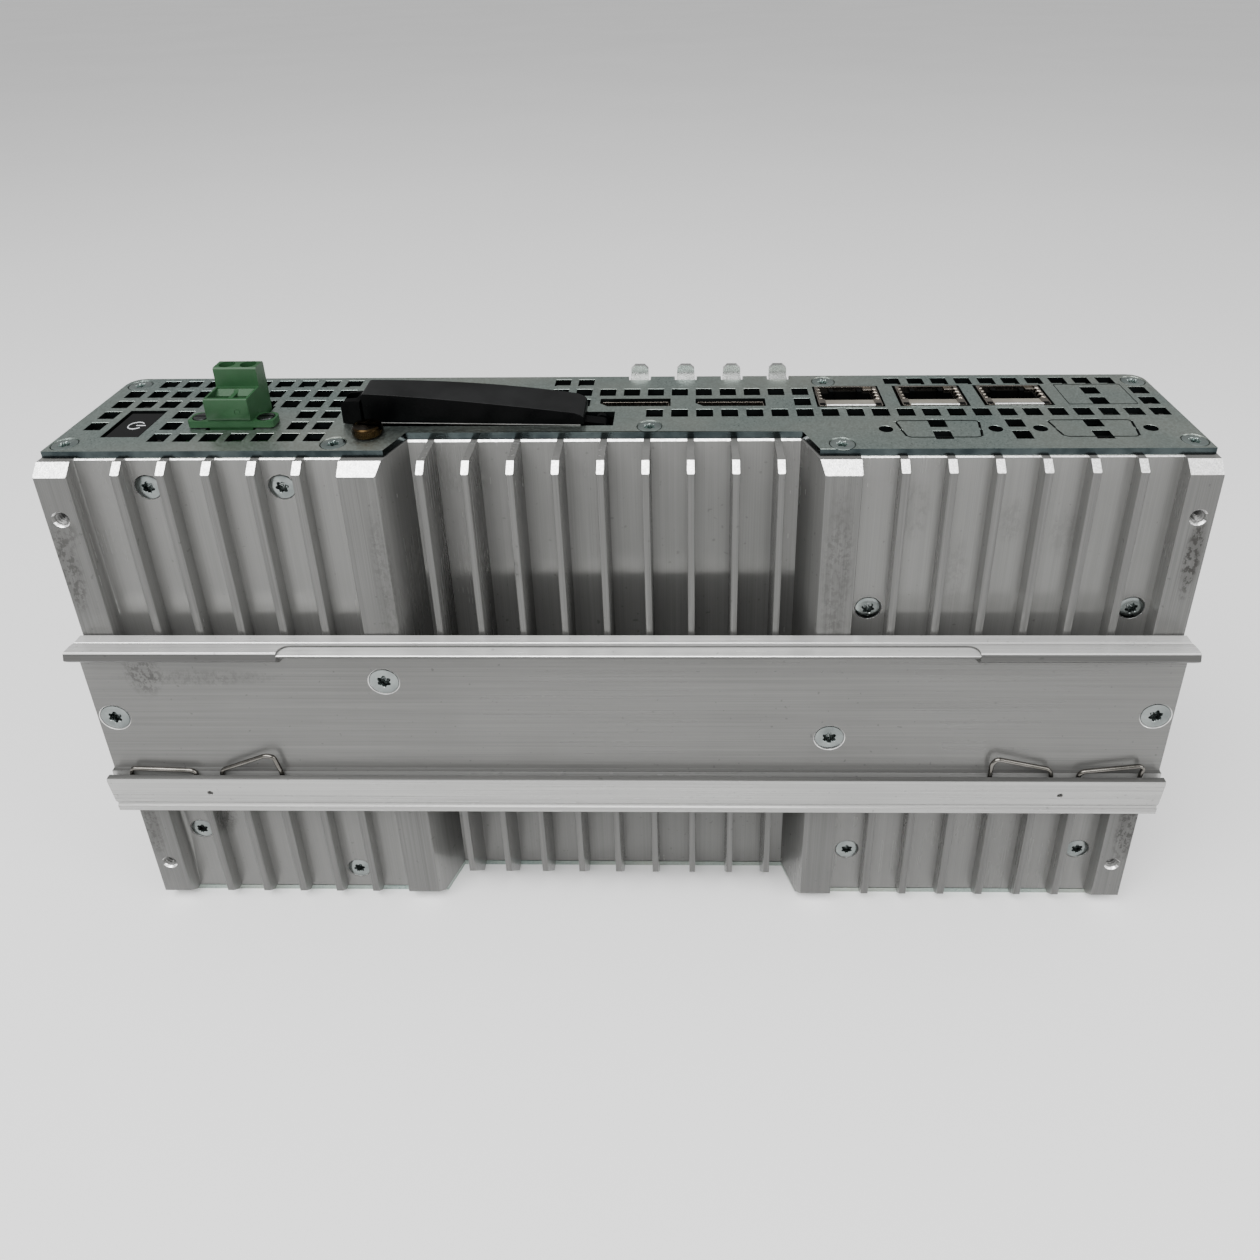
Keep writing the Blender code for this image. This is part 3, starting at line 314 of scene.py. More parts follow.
MOULDED = {
    "black": ((0.0010, 0.0011, 0.0012), (0.0020, 0.0021, 0.0022), 0.28, 0.03),
    # A lighter, satin copy of the black plastic for the slot cover's top: painted light.
    "satin_lit_top": ((0.0060, 0.0062, 0.0063), (0.0105, 0.0108, 0.0110), 0.36, 0.10),
    "gloss": ((0.0012, 0.0013, 0.0015), (0.002, 0.0021, 0.0024), 0.12, 0.10, 0.000002),
    "insert": ((0.0010, 0.0010, 0.0010), (0.002, 0.002, 0.002), 0.45, 0.04),
    # Near-black for the rear cover's front-facing faces inside the box: painted shade.
    "inner_shade": ((0.0008, 0.0008, 0.0008), (0.0018, 0.0018, 0.0018), 0.5, 0.02),
    "green": ((0.014, 0.047, 0.018), (0.020, 0.064, 0.026), 0.42, 0.25),
    "strip": ((0.125, 0.115, 0.095), (0.19, 0.178, 0.15), 0.35, 0.4),
    "mark": ((0.42, 0.43, 0.45), (0.55, 0.56, 0.58), 0.40),
    "chip": ((0.006, 0.006, 0.0065), (0.012, 0.012, 0.013), 0.50, 0.15),
    "seal": ((0.16, 0.16, 0.155), (0.25, 0.25, 0.24), 0.35),
    # Dark parting lines of the blank ports, and painted shade on the walls of the plate's holes.
    "seam_and_hole_shade": ((0.0015, 0.002, 0.002), (0.004, 0.005, 0.005), 0.60, 0.04),
}
LOOKS = {"milled": milled_highlight_metal(), "zinc": zinc_sheet(), "board": circuit_board()}
for make, rows in ((brushed_metal, BRUSHED), (plated, PLATED), (moulded, MOULDED)):
    for key, row in rows.items():
        LOOKS[key] = make(f"{key}_look", *row)


# ---- mesh helpers

def put(axis, along, a, b):
    """A point from its distance along an axis and its two other coordinates, in X, Y, Z order."""
    if axis == "X":
        return (along, a, b)
    if axis == "Y":
        return (a, along, b)
    return (a, b, along)


def add_prism(bm, outline, axis, low, high):
    bottom = [bm.verts.new(put(axis, low, a, b)) for a, b in outline]
    top = [bm.verts.new(put(axis, high, a, b)) for a, b in outline]
    bm.faces.new(bottom)
    bm.faces.new(reversed(top))
    for i in range(len(outline)):
        j = (i + 1) % len(outline)
        bm.faces.new((bottom[j], bottom[i], top[i], top[j]))


def add_rings(bm, rings):
    """Joins rings of points, each as long as the next or a single point, into one skin."""
    made = [[bm.verts.new(point) for point in ring] for ring in rings]
    count = max(len(ring) for ring in made)
    for lower, upper in zip(made, made[1:]):
        for i in range(count):
            j = (i + 1) % count
            corners = [lower[i % len(lower)], lower[j % len(lower)]]
            corners += [upper[j % len(upper)], upper[i % len(upper)]]
            bm.faces.new(list(dict.fromkeys(corners)))


def turns_of(steps):
    """Angles in radians that divide a full turn."""
    return [2 * math.pi * i / steps for i in range(steps)]


def add_lathe(bm, profile, centre, axis, segments):
    """A turned body from (radius, height) pairs about an axis through centre."""
    along = "XYZ".index(axis)
    a0, b0 = [centre[i] for i in range(3) if i != along]
    rings = []
    for radius, height in profile:
        if radius == 0:
            rings.append([put(axis, centre[along] + height, a0, b0)])
            continue
        ring = [(a0 + radius * math.cos(t), b0 + radius * math.sin(t)) for t in turns_of(segments)]
        rings.append([put(axis, centre[along] + height, a, b) for a, b in ring])
    add_rings(bm, rings)


def rectangle(low_a, low_b, high_a, high_b):
    return [(low_a, low_b), (high_a, low_b), (high_a, high_b), (low_a, high_b)]


def arc(centre, radius, start, end, steps):
    turns = [math.radians(start + (end - start) * i / steps) for i in range(steps + 1)]
    return [(centre[0] + radius * math.cos(t), centre[1] + radius * math.sin(t)) for t in turns]


def rounded(low_a, low_b, high_a, high_b, radius, steps=5):
    points = arc((high_a - radius, high_b - radius), radius, 0, 90, steps)
    points += arc((low_a + radius, high_b - radius), radius, 90, 180, steps)
    points += arc((low_a + radius, low_b + radius), radius, 180, 270, steps)
    return points + arc((high_a - radius, low_b + radius), radius, 270, 360, steps)


def add_object(name, data):
    obj = bpy.data.objects.new(name, data)
    bpy.context.scene.collection.objects.link(obj)
    return obj


def mesh_from(name, bm):
    """Turns a bmesh into a mesh and frees it."""
    data = bpy.data.meshes.new(name)
    bm.to_mesh(data)
    bm.free()
    return data


def add_body(name, bm):
    """Turns a bmesh in millimetres into an object in metres, with its faces turned outwards."""
    bmesh.ops.recalc_face_normals(bm, faces=bm.faces)
    bmesh.ops.scale(bm, vec=(MM, MM, MM), verts=bm.verts)
    return add_object(name, mesh_from(name, bm))


def evaluated_mesh(obj):
    """A new mesh of an object as its modifiers or its bevel leave it."""
    bpy.context.view_layer.update()
    graph = bpy.context.evaluated_depsgraph_get()
    return bpy.data.meshes.new_from_object(obj.evaluated_get(graph))


def boolean(obj, bm, operation):
    """Cuts or joins the body in a bmesh, in millimetres, with an object, which keeps its own look."""
    helper = add_body("helper", bm)
    modifier = obj.modifiers.new(operation, "BOOLEAN")
    modifier.operation = operation
    modifier.solver = "EXACT"
    modifier.object = helper
    look = obj.data.materials[0]
    result = evaluated_mesh(obj)
    obj.modifiers.clear()
    obj.data = result
    wear(obj, look)
    bpy.data.objects.remove(helper, do_unlink=True)


def wear(obj, *looks):
    """Gives an object these materials and no others, with the first on every face."""
    obj.data.materials.clear()
    for look in looks:
        obj.data.materials.append(look)


def cut(obj, bm):
    boolean(obj, bm, "DIFFERENCE")


def join(obj, bm):
    boolean(obj, bm, "UNION")


def prism_bm(outline, axis, low, high):
    bm = bmesh.new()
    add_prism(bm, outline, axis, low, high)
    return bm


def lathe_bm(profile, centre, axis, segments=32):
    bm = bmesh.new()
    add_lathe(bm, profile, centre, axis, segments)
    return bm


def box_bm(low, high):
    return prism_bm(rectangle(low[0], low[1], high[0], high[1]), "Z", low[2], high[2])


def soften(obj, width, segments=2, angle=32):
    """Rounds the sharp edges of an object and shades it smooth."""
    if width:
        modifier = obj.modifiers.new("edges", "BEVEL")
        modifier.width = width * MM
        modifier.segments = segments
        modifier.limit_method = "ANGLE"
        modifier.angle_limit = math.radians(angle)
        modifier.harden_normals = True
    smooth(obj, angle)


def add_piece(name, bm, look, body, stands_for=()):
    """Turns a bmesh in millimetres into an object that rides on a body."""
    return settle(add_body(name, bm), look, body, stands_for)


def settle(obj, look, body, stands_for=()):
    wear(obj, LOOKS[look])
    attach(obj, body)
    if stands_for:
        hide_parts(*stands_for)
    return obj


def smooth(obj, angle):
    """Shades an object smooth, apart from edges sharper than an angle in degrees."""
    obj.data.shade_smooth()
    obj.data.set_sharp_from_angle(angle=math.radians(angle))


def add_wire(name, points, radius, look, body, stands_for=(), closed=False):
    """A round wire along a smooth path, as a mesh with round ends."""
    curve = bpy.data.curves.new(name, "CURVE")
    curve.dimensions = "3D"
    curve.bevel_depth = radius * MM
    curve.bevel_resolution = 4
    curve.use_fill_caps = True
    spline = curve.splines.new("POLY")
    spline.points.add(len(points) - 1)
    spline.use_cyclic_u = closed
    for knot, point in zip(spline.points, points):
        knot.co = (*(Vector(point) * MM), 1.0)
    holder = add_object(name + "_path", curve)
    data = evaluated_mesh(holder)
    data.name = name
    bpy.data.objects.remove(holder, do_unlink=True)
    wire = add_object(name, data)
    smooth(wire, 50)
    return settle(wire, look, body, stands_for)


def filleted(corners, radius, steps=5):
    """A path through corner points, with every inner corner turned into an arc-like bend."""
    points = [Vector(corners[0])]
    for before, here, after in zip(corners, corners[1:], corners[2:]):
        here = Vector(here)
        back = Vector(before) - here
        ahead = Vector(after) - here
        reach = min(radius, back.length * 0.45, ahead.length * 0.45)
        start = here + back.normalized() * reach
        end = here + ahead.normalized() * reach
        for i in range(steps + 1):
            t = i / steps
            points.append(start * (1 - t) ** 2 + here * 2 * t * (1 - t) + end * t ** 2)
    return points + [Vector(corners[-1])]


def merged_bm(node):
    """The mesh of a CAD node with its flat triangles merged."""
    bm = bmesh.new()
    bm.from_mesh(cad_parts[node].data)
    bmesh.ops.remove_doubles(bm, verts=bm.verts, dist=1e-6)
    bmesh.ops.dissolve_limit(bm, angle_limit=math.radians(1.0), verts=bm.verts, edges=bm.edges)
    return bm


def copy_of_node(node, look, chosen, width, segments):
    """A piece from a CAD node's mesh, with the chosen sharp edges rounded."""
    bm = merged_bm(node)
    edges = [e for e in bm.edges if len(e.link_faces) == 2 and e.calc_face_angle() > 0.5 and chosen(e)]
    bmesh.ops.bevel(
        bm, geom=edges, offset=width * MM, segments=segments, profile=0.5, affect="EDGES",
        clamp_overlap=True
    )
    obj = add_object(f"{node}_look", mesh_from(f"{node}_look", bm))
    smooth(obj, 24)
    return settle(obj, look, "housing", (node,))


# ---- housing

def edge_ends(edge):
    """Both ends of an edge, in millimetres."""
    return edge.verts[0].co / MM, edge.verts[1].co / MM


def is_upright(edge):
    """A long upright edge that sticks out."""
    a, b = edge_ends(edge)
    return abs(a.z - b.z) > 12 and (a - b).xy.length < 0.02 and edge.is_convex


def is_hole_rim(edge):
    """A short upper edge of the plate, where the punch rolled the metal over."""
    a, b = edge_ends(edge)
    return abs(a.z - TOP) < 0.02 and abs(b.z - TOP) < 0.02 and (a - b).length < 6


def is_groove_end(edge):
    """An upper edge of a groove's floor, where the end mill left a small chamfer."""
    a, b = edge_ends(edge)
    level = abs(a.z - SINK_HIGH.z) < 0.02 and abs(b.z - SINK_HIGH.z) < 0.02
    across = abs(a.y - b.y) < 0.02 and abs(a.x - b.x) > 3
    return level and across and 3 < a.y - FRONT < 14


def screw_place(node):
    """A screw's middle, the radius of its head, and its lowest and highest corners."""
    low, high = box_mm(node)
    return (low + high) / 2, (high.x - low.x) / 2, (low, high)


def is_countersink(face, kind):
    """A sloping face of the hole round one of the screws of a kind."""
    if not -0.95 < face.normal.y < -0.2:
        return False
    at = face.center / MM
    for number in range(1, SCREW_COUNTS[kind] + 1):
        middle, head, _ = screw_place(f"{kind}_{number}")
        if math.hypot(at.x - middle.x, at.z - middle.z) < head + 1.0:
            return True
    return False


def make_heatsink():
    """The CAD body with rounded upright edges and a chamfer along each groove's upper end; the chamfers carry
    a painted highlight and the front faces a painted shade.
    """
    sink = copy_of_node("heatsink", "sink", is_upright, 0.22, 2)
    source = merged_bm("heatsink")
    chamfers = bmesh.new()
    top = SINK_HIGH.z
    for edge in source.edges:
        if is_groove_end(edge):
            a, b = edge_ends(edge)
            low_x, high_x = sorted((a.x, b.x))
            wedge = [(a.y - 0.1, top - 0.5), (a.y + 0.5, top + 0.1), (a.y - 0.1, top + 0.1)]
            add_prism(chamfers, wedge, "X", low_x + 0.01, high_x - 0.01)
    source.free()
    cut(sink, chamfers)
    wear(sink, LOOKS["sink"], LOOKS["milled"], LOOKS["shaded_front"])
    # Chamfers, slanted rib tops and body-screw countersinks get the bright cut look, partly a painted
    # highlight.
    for face in sink.data.polygons:
        at = face.center.y / MM - FRONT
        slanted = face.normal.y < -0.3 and abs(face.normal.z) > 0.3
        if slanted and at < 15 or is_countersink(face, "body_screw"):
            face.material_index = 1
        # Front faces get the darker copy of the aluminium: painted shade.
        elif face.normal.y < -0.9 and at < 0.6:
            face.material_index = 2


def flatten(obj, least):
    """Shades an object's large faces flat, so that the rounded faces beside them don't bend their light."""
    for face in obj.data.polygons:
        if face.area / MM ** 2 > least:
            face.use_smooth = False


def make_plates():
    """The connector plate, the rear cover with its lugs, and the base plate."""
    plate = copy_of_node("interface_plate", "zinc", is_hole_rim, 0.12, 1)
    wear(plate, LOOKS["zinc"], LOOKS["shaded_sheared_edge"], LOOKS["seam_and_hole_shade"])
    for face in plate.data.polygons:
        x, y = abs(face.center.x / MM), face.center.y / MM
        border = x > PLATE_HIGH.x - 0.8 or y > PLATE_HIGH.y - 0.8
        # Front faces get the dark edge colour, partly painted shade.
        if face.normal.y < -0.3 and face.area / MM ** 2 > 9 and y - FRONT < 13.5:
            face.material_index = 1
        # Walls of the plate's holes get near-black: painted shade.
        elif abs(face.normal.z) < 0.3 and not border:
            face.material_index = 2
    flatten(plate, 40)
    cover = copy_of_node("rear_cover", "zinc", is_cover_rim, 0.25, 2)
    wear(cover, LOOKS["zinc"], LOOKS["inner_shade"], LOOKS["lug"])
    for face in cover.data.polygons:
        if face.center.z / MM > TOP - 2.8:
            face.material_index = 2
        # Front-facing faces get near-black: painted shade.
        elif face.normal.y < -0.9:
            face.material_index = 1
    flatten(cover, 40)
    keep_node("base_plate", "zinc")


def is_cover_rim(edge):
    """A long outer edge on the rear face of the rear cover."""
    a, b = edge_ends(edge)
    rear = box_mm("rear_cover")[1].y
    return abs(a.y - rear) < 0.02 and abs(b.y - rear) < 0.02


def keep_node(node, look):
    """Keeps a CAD node as it is, with a detailed material."""
    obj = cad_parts[node]
    wear(obj, LOOKS[look])
    smooth(obj, 30)


# ---- fasteners

def lobed(radius, turn):
    """Radius of a six-lobed driver recess at an angle."""
    return radius * (0.86 + 0.14 * math.cos(6 * turn) - 0.02 * math.cos(12 * turn))


def lobed_screw(node, look, face, axis, head):
    """A countersunk screw with a six-lobed recess; face is its head's middle, and axis points out of it."""
    turns = turns_of(96)
    recess = head * 0.50
    deep = head * 0.55

    def ring(radius, height):
        return [(radius * math.cos(t), radius * math.sin(t), height) for t in turns]

    def lobes(scale, height):
        return [(lobed(recess * scale, t) * math.cos(t), lobed(recess * scale, t) * math.sin(t), height)
                for t in turns]

    rings = [[(0, 0, -head * 1.9)], ring(head * 0.44, -head * 1.9), ring(head * 0.44, -head * 0.62)]
    rings += [ring(head * 0.96, -0.22), ring(head, -0.14), ring(head, -0.05), ring(head - 0.10, 0)]
    rings += [ring(head * 0.66, 0.0), lobes(1.07, -0.01), lobes(1.0, -0.12), lobes(0.94, -deep)]
    rings += [lobes(0.55, -deep - 0.25), [(0, 0, -deep - 0.35)]]
    bm = bmesh.new()
    add_rings(bm, rings)
    turn = Vector((0, 0, 1)).rotation_difference(Vector(axis)).to_matrix().to_4x4()
    spin = Matrix.Rotation((face[0] * 0.7 + face[2]) % 1.0, 4, "Z")
    bmesh.ops.transform(bm, matrix=Matrix.Translation(face) @ turn @ spin, verts=bm.verts)
    smooth(add_piece(f"{node}_look", bm, look, "housing", (node,)), 38)


def make_screws():
    for kind, count in SCREW_COUNTS.items():
        for number in range(1, count + 1):
            node = f"{kind}_{number}"
            middle, head, (low, high) = screw_place(node)
            if kind == "plate_screw":
                lobed_screw(node, "plate_screw", (middle.x, middle.y, high.z), (0, 0, 1), head)
            else:
                lobed_screw(node, "screw", (middle.x, low.y, middle.z), (0, -1, 0), head)


# ---- rail bracket

def depth(y):
    """World Y of a distance behind the heatsink's front plane."""
    return FRONT + y


def at_depth(outline):
    return [(depth(y), z) for y, z in outline]


RAIL_LEDGE = 53.1
MILLED_HALF = 81.4


def bracket_outline():
    """Lower band, slanted nose, wire groove, web and hooked lip, from the back's lower corner."""
    low, high = BRACKET_LOW.z, BRACKET_HIGH.z
    ledge = RAIL_LEDGE
    band = [(-0.3, low), (-5.8, low), (-6.05, low + 0.3), (-6.15, 43.0)]
    band += [(-5.85, 43.3), (-5.75, 43.7), (-5.95, 44.2)]
    nose = [(-6.3, 44.8), (-7.12, ledge - 1.0), (-7.12, ledge - 0.5), (-6.95, ledge - 0.15), (-6.65, ledge)]
    groove = [(-5.68, ledge), (-5.68, 45.6), (-4.32, 45.6), (-4.32, ledge)]
    web = [(-3.6, ledge), (-3.3, ledge + 0.1), (-3.2, ledge + 0.4), (-3.2, 90.4), (-3.3, 90.7), (-3.6, 90.8)]
    lip = [(-5.2, 90.8), (-5.2, 89.6), (-5.4, 89.4), (-6.4, 89.4), (-6.7, 89.5), (-7.9, 90.7), (-8.0, 91.0)]
    top = [(-7.6, high - 0.35), (-7.5, high - 0.1), (-7.3, high), (-4.5, 92.66), (-4.3, 92.6), (-3.3, 92.33)]
    return band + nose + groove + web + lip + top + [(-3.1, 92.2), (-2.95, 92.3), (-0.4, 92.3), (-0.3, 92.2)]


def milled_lip_outline():
    """The middle of the lip, milled thinner and rounded to a narrow nose."""
    nose = [(depth(y), z) for y, z in arc((-7.28, 91.72), 0.42, 110, 260, 8)]
    return [(depth(-4.2), 90.9), (depth(-4.2), 92.14)] + nose + [(depth(-5.4), 91.25), (depth(-5.2), 90.9)]


def screw_sink(node):
    """Countersunk hole of a bracket screw, a little wider than its head."""
    middle, head, (low, _) = screw_place(node)
    profile = [(0, -2), (head + 0.45, -2), (head + 0.45, -0.05), (head + 0.22, 0.12), (head + 0.22, 0.3)]
    profile += [(2.2, 1.8), (2.2, 6), (0, 6)]
    return lathe_bm(profile, (middle.x, low.y - 0.05, middle.z), "Y", 48)


def make_bracket():
    """The rail bracket: a long section with its lip milled back in the middle, and its holes."""
    bm = prism_bm(at_depth(bracket_outline()), "X", BRACKET_LOW.x, BRACKET_HIGH.x)
    bracket = add_piece(
        "din_rail_bracket_look", bm, "bracket", "housing", ("din_rail_bracket",)
    )
    milled = rounded(-MILLED_HALF, depth(-12), MILLED_HALF, depth(-4.55), 2.2)
    cut(bracket, prism_bm(milled, "Z", 88.5, 96))
    join(bracket, prism_bm(milled_lip_outline(), "X", -MILLED_HALF - 0.3, MILLED_HALF + 0.3))
    for number in range(1, SCREW_COUNTS["bracket_screw"] + 1):
        cut(bracket, screw_sink(f"bracket_screw_{number}"))
    for x in (-106.3, 106.3):
        hole = [(0, -2), (0.85, -2), (0.85, 0), (0.6, 0.25), (0.6, 0.9), (0, 0.9)]
        cut(bracket, lathe_bm(hole, (x, depth(-6.75), 48.0), "Y", 24))
    wear(bracket, LOOKS["bracket"], LOOKS["lit_band"], LOOKS["lit_crown"], LOOKS["shaded_shelf"])
    smooth(bracket, 28)
    for face in bracket.data.polygons:
        band = face.center.z / MM < RAIL_LEDGE - 0.1 and face.normal.y < -0.6
        lit_crown = face.center.z / MM > 91.9 and face.normal.z > 0.2
        ledge_top = RAIL_LEDGE - 3 < face.center.z / MM < RAIL_LEDGE + 0.4 and face.normal.z > 0.6
        lip_front = face.center.z / MM > 88 and face.normal.y < -0.6
        # The lip's top and the screw countersinks get the bright copy: painted light.
        if lit_crown or is_countersink(face, "bracket_screw"):
            face.material_index = 2
        # The ledge's top and the lip's front get the dark copy: painted shade.
        elif ledge_top or lip_front:
            face.material_index = 3
        # The band's front gets the lighter copy: painted light.
        elif band and abs(face.normal.x) < 0.3:
            face.material_index = 1


SPRING_ROUTES = {
    "rail_spring_1": ((-126.0, 0), (-125.4, 1.5), (-110.4, 0.9), (-109.6, 0)),
    "rail_spring_2": ((-103.0, 0), (-102.4, 1.2), (-91.0, 5.8), (-89.0, 5.4), (-87.8, 0)),
    "rail_spring_3": ((88.9, 0), (88.9, 3.6), (90.1, 5.2), (103.2, 2.0), (104.0, 0)),
    "rail_spring_4": ((110.7, 0), (111.5, 1.2), (125.2, 3.1), (126.2, 2.3), (125.8, 0)),
}


def make_springs():
    """Bent wires that stand in the ledge's groove, from their bends in X and rise above the ledge."""
    for node, bends in SPRING_ROUTES.items():
        low, high = box_mm(node)
        y = (low.y + high.y) / 2
        corners = [(bends[0][0], y, low.z + 0.2)]
        corners += [(x, y, RAIL_LEDGE + rise) for x, rise in bends]
        corners.append((bends[-1][0], y, low.z + 0.2))
        path = filleted(corners, 1.5, 6)
        add_wire(f"{node}_look", path, WIRE_RADIUS, "spring", node, (node,))


# ---- plate details

DSUB_BLANKS = ((72.4, 13.8), (107.6, 13.9))
PORT_BLANK = (106.2, 26.7, 122.6, 38.2)
SEAM_RADIUS = 0.13


def closed_path(corners, radius, z, steps=5):
    """A closed path through corners in X and depth, with rounded bends, at one height."""
    points = []
    count = len(corners)
    for i, corner in enumerate(corners):
        here = Vector(corner)
        back = Vector(corners[i - 1]) - here
        ahead = Vector(corners[(i + 1) % count]) - here
        start = here + back.normalized() * radius
        end = here + ahead.normalized() * radius
        for k in range(steps + 1):
            t = k / steps
            x, y = start * (1 - t) ** 2 + here * 2 * t * (1 - t) + end * t ** 2
            points.append((x, depth(y), z))
    return points


def make_blanks():
    """Parting lines of the three unused ports, left as thin cuts in the plate."""
    for number, (x, y) in enumerate(DSUB_BLANKS, 1):
        corners = [(x - 9.75, y + 4.2), (x - 8.5, y - 4.2), (x + 8.5, y - 4.2), (x + 9.75, y + 4.2)]
        path = closed_path(corners, 1.6, TOP - 0.03)
        add_wire(f"port_blank_line_{number}", path, SEAM_RADIUS, "seam_and_hole_shade", "housing", closed=True)
    x0, y0, x1, y1 = PORT_BLANK
    path = closed_path([(x0, y0), (x1, y0), (x1, y1), (x0, y1)], 0.4, TOP - 0.03)
    add_wire("port_blank_line_3", path, SEAM_RADIUS * 0.8, "seam_and_hole_shade", "housing", closed=True)


CORNER_HOLES = ((-127.5, 124.4), (127.5, 124.4), (-127.3, 15.2), (127.3, 16.2))


def make_threads():
    """Rings of thread inside the four corner holes."""
    pitch = 0.7
    first = 0.75
    last = 6.6
    profile = [(1.64, first)]
    for turn in range(8):
        start = first + turn * pitch
        profile += [(1.62, start + 0.08), (1.32, start + pitch / 2)]
    profile += [(1.6, last), (1.64, last)]
    for number, (x, z) in enumerate(CORNER_HOLES, 1):
        bm = bmesh.new()
        add_lathe(bm, profile + profile[:1], (x, depth(0), z), "Y", 40)
        bmesh.ops.remove_doubles(bm, verts=bm.verts, dist=1e-4)
        add_piece(f"corner_thread_{number}", bm, "alloy", "housing")


# ---- controls

def make_power_button():
    """Glossy cap on a flange, with a power mark of a broken ring and a bar."""
    low, high = box_mm("power_button")
    x0, x1, y0, y1 = low.x, high.x, low.y, high.y
    cap = rounded(x0 + 0.95, y0 + 0.75, x1 - 0.95, y1 - 0.75, 0.6)
    bm = prism_bm(cap, "Z", low.z + 2.0, high.z)
    button = add_piece("power_button_look", bm, "gloss", "power_button", ("power_button",))
    flange = prism_bm(rounded(x0, y0, x1, y1, 0.8), "Z", low.z, low.z + 1.4)
    stem = prism_bm(rounded(x0 + 1.4, y0 + 1.4, x1 - 1.4, y1 - 1.4, 0.6), "Z", low.z + 1.0, low.z + 2.5)
    soften(button, 0.35, 4)
    for part, bm in (("flange", flange), ("stem", stem)):
        soften(add_piece(f"power_button_{part}", bm, "black", "power_button"), 0.15)
    middle = ((x0 + x1) / 2 + 0.4, (y0 + y1) / 2 - 0.3)
    z = high.z + 0.012
    ring = [(a, b, z) for a, b in arc(middle, 1.75, 38, 322, 30)]
    add_wire("power_mark_ring", ring, 0.13, "mark", "power_button")
    bar = [(middle[0] + reach, middle[1], z) for reach in (0.1, 1.2, 2.3)]
    add_wire("power_mark_bar", bar, 0.13, "mark", "power_button")


HINGE = (-6.0, 137.6)
COVER_X_SPAN = (-61.6, -9.5)
COVER_FRONTS = (17.7, 15.9)
FRONT_CREST = (147.3, 4.5, 1.35)
REAR_CREST = (147.8, 4.1, 2.1)


def along_cover(x):
    """How far X lies along the slot cover, from zero at the catch to one at the hinge."""
    left, right = COVER_X_SPAN
    return min(max((x - left) / (right - left), 0), 1)


def cover_front(x):
    """World Y of the slot cover's front, which stands slightly askew in its slot."""
    return depth(COVER_FRONTS[0] + (COVER_FRONTS[1] - COVER_FRONTS[0]) * along_cover(x))


def crest(line, x):
    """Height of the slot cover's top above x, along a (height, fall, power) line."""
    high, fall, power = line
    return high - fall * along_cover(x) ** power


def make_slot_cover():
    """Long cover with a sloping, slightly skewed top, its hinge arm and the pale seal under it."""
    low, high = box_mm("slot_cover")
    left, right = COVER_X_SPAN
    front, rear = low.y, high.y
    foot = TOP + 0.3
    steps = 18
    outline = [(left + 0.1, foot), (right - 0.3, foot), (right, foot + 0.3)]
    outline += arc((right - 1.6, crest(REAR_CREST, right) - 1.7), 1.6, 0, 66, 6)
    for i in range(steps + 1):
        x = right - 2.4 - (right - left - 3.7) * i / steps
        outline.append((x, crest(REAR_CREST, x)))
    outline += arc((left + 0.95, REAR_CREST[0] - 0.95), 0.95, 100, 180, 4)
    bm = prism_bm(outline, "Y", front, rear)
    for vert in bm.verts:
        if vert.co.y < rear - 1:
            vert.co.y = cover_front(vert.co.x)
            if vert.co.z > foot + 1:
                vert.co.z += crest(FRONT_CREST, vert.co.x) - crest(REAR_CREST, vert.co.x)
    cover = add_piece("slot_cover_look", bm, "black", "slot_cover", ("slot_cover",))
    soften(cover, 0.6, 4, 40)
    wear(cover, LOOKS["black"], LOOKS["satin_lit_top"])
    # Upward faces get the lighter copy: painted light.
    for face in cover.data.polygons:
        if face.normal.z > 0.5:
            face.material_index = 1
    pin_x, pin_z = HINGE
    arm = [(-13.0, foot + 0.5), (-13.0, foot - 2.9), (pin_x - 0.8, pin_z - 1.75)]
    arm += arc((pin_x, pin_z), 1.9, -90, 90, 12)
    arm += [(-9.7, foot - 0.05), (-9.7, foot + 0.5)]
    arm_piece = add_piece(
        "slot_cover_arm", prism_bm(arm, "Y", depth(17.8), depth(21.3)), "black", "slot_cover"
    )
    cut(arm_piece, lathe_bm([(0, -9), (1.02, -9), (1.02, 9), (0, 9)], (pin_x, depth(19.4), pin_z), "Y", 32))
    soften(arm_piece, 0.12)
    strip = rectangle(left + 0.6, foot - 0.26, right - 1.0, foot - 0.06)
    bm = prism_bm(strip, "Y", front, front + 1)
    for vert in bm.verts:
        inset = 0.1 if vert.co.y < front + 0.5 else 0.9
        vert.co.y = cover_front(vert.co.x) + inset
    soften(add_piece("slot_cover_seal", bm, "seal", "slot_cover"), 0.06)


def make_catch():
    """Latch block beside the cover, hollow on top, with its small bronze leaf."""
    low, high = box_mm("cover_catch")
    x0, x1, y0, y1 = low.x, high.x, low.y, high.y
    top = high.z
    outline = [(x0, low.z), (x1, low.z), (x1, top - 0.3), (x1 - 0.8, top)]
    outline += [(x0 + 0.7, top - 0.2), (x0, top - 1.1)]
    bm = prism_bm(outline, "Y", y0, y1)
    block = add_piece("cover_catch_look", bm, "black", "housing", ("cover_catch",))
    cut(block, prism_bm(rounded(x0 + 0.7, y0 + 1.9, x1 - 0.9, y1 - 0.8, 0.3), "Z", top - 3.6, top + 1))
    soften(block, 0.14)
    leaf = [(x0 + 1.1, top - 3.5), (x0 + 1.5, top - 1.5), (x0 + 2.4, top - 0.9), (x0 + 2.9, top - 3.5)]
    y = (y0 + y1) / 2 + 0.4
    path = filleted([(x, y, z) for x, z in leaf], 0.5)
    add_wire("catch_leaf", path, 0.28, "gold", "housing")


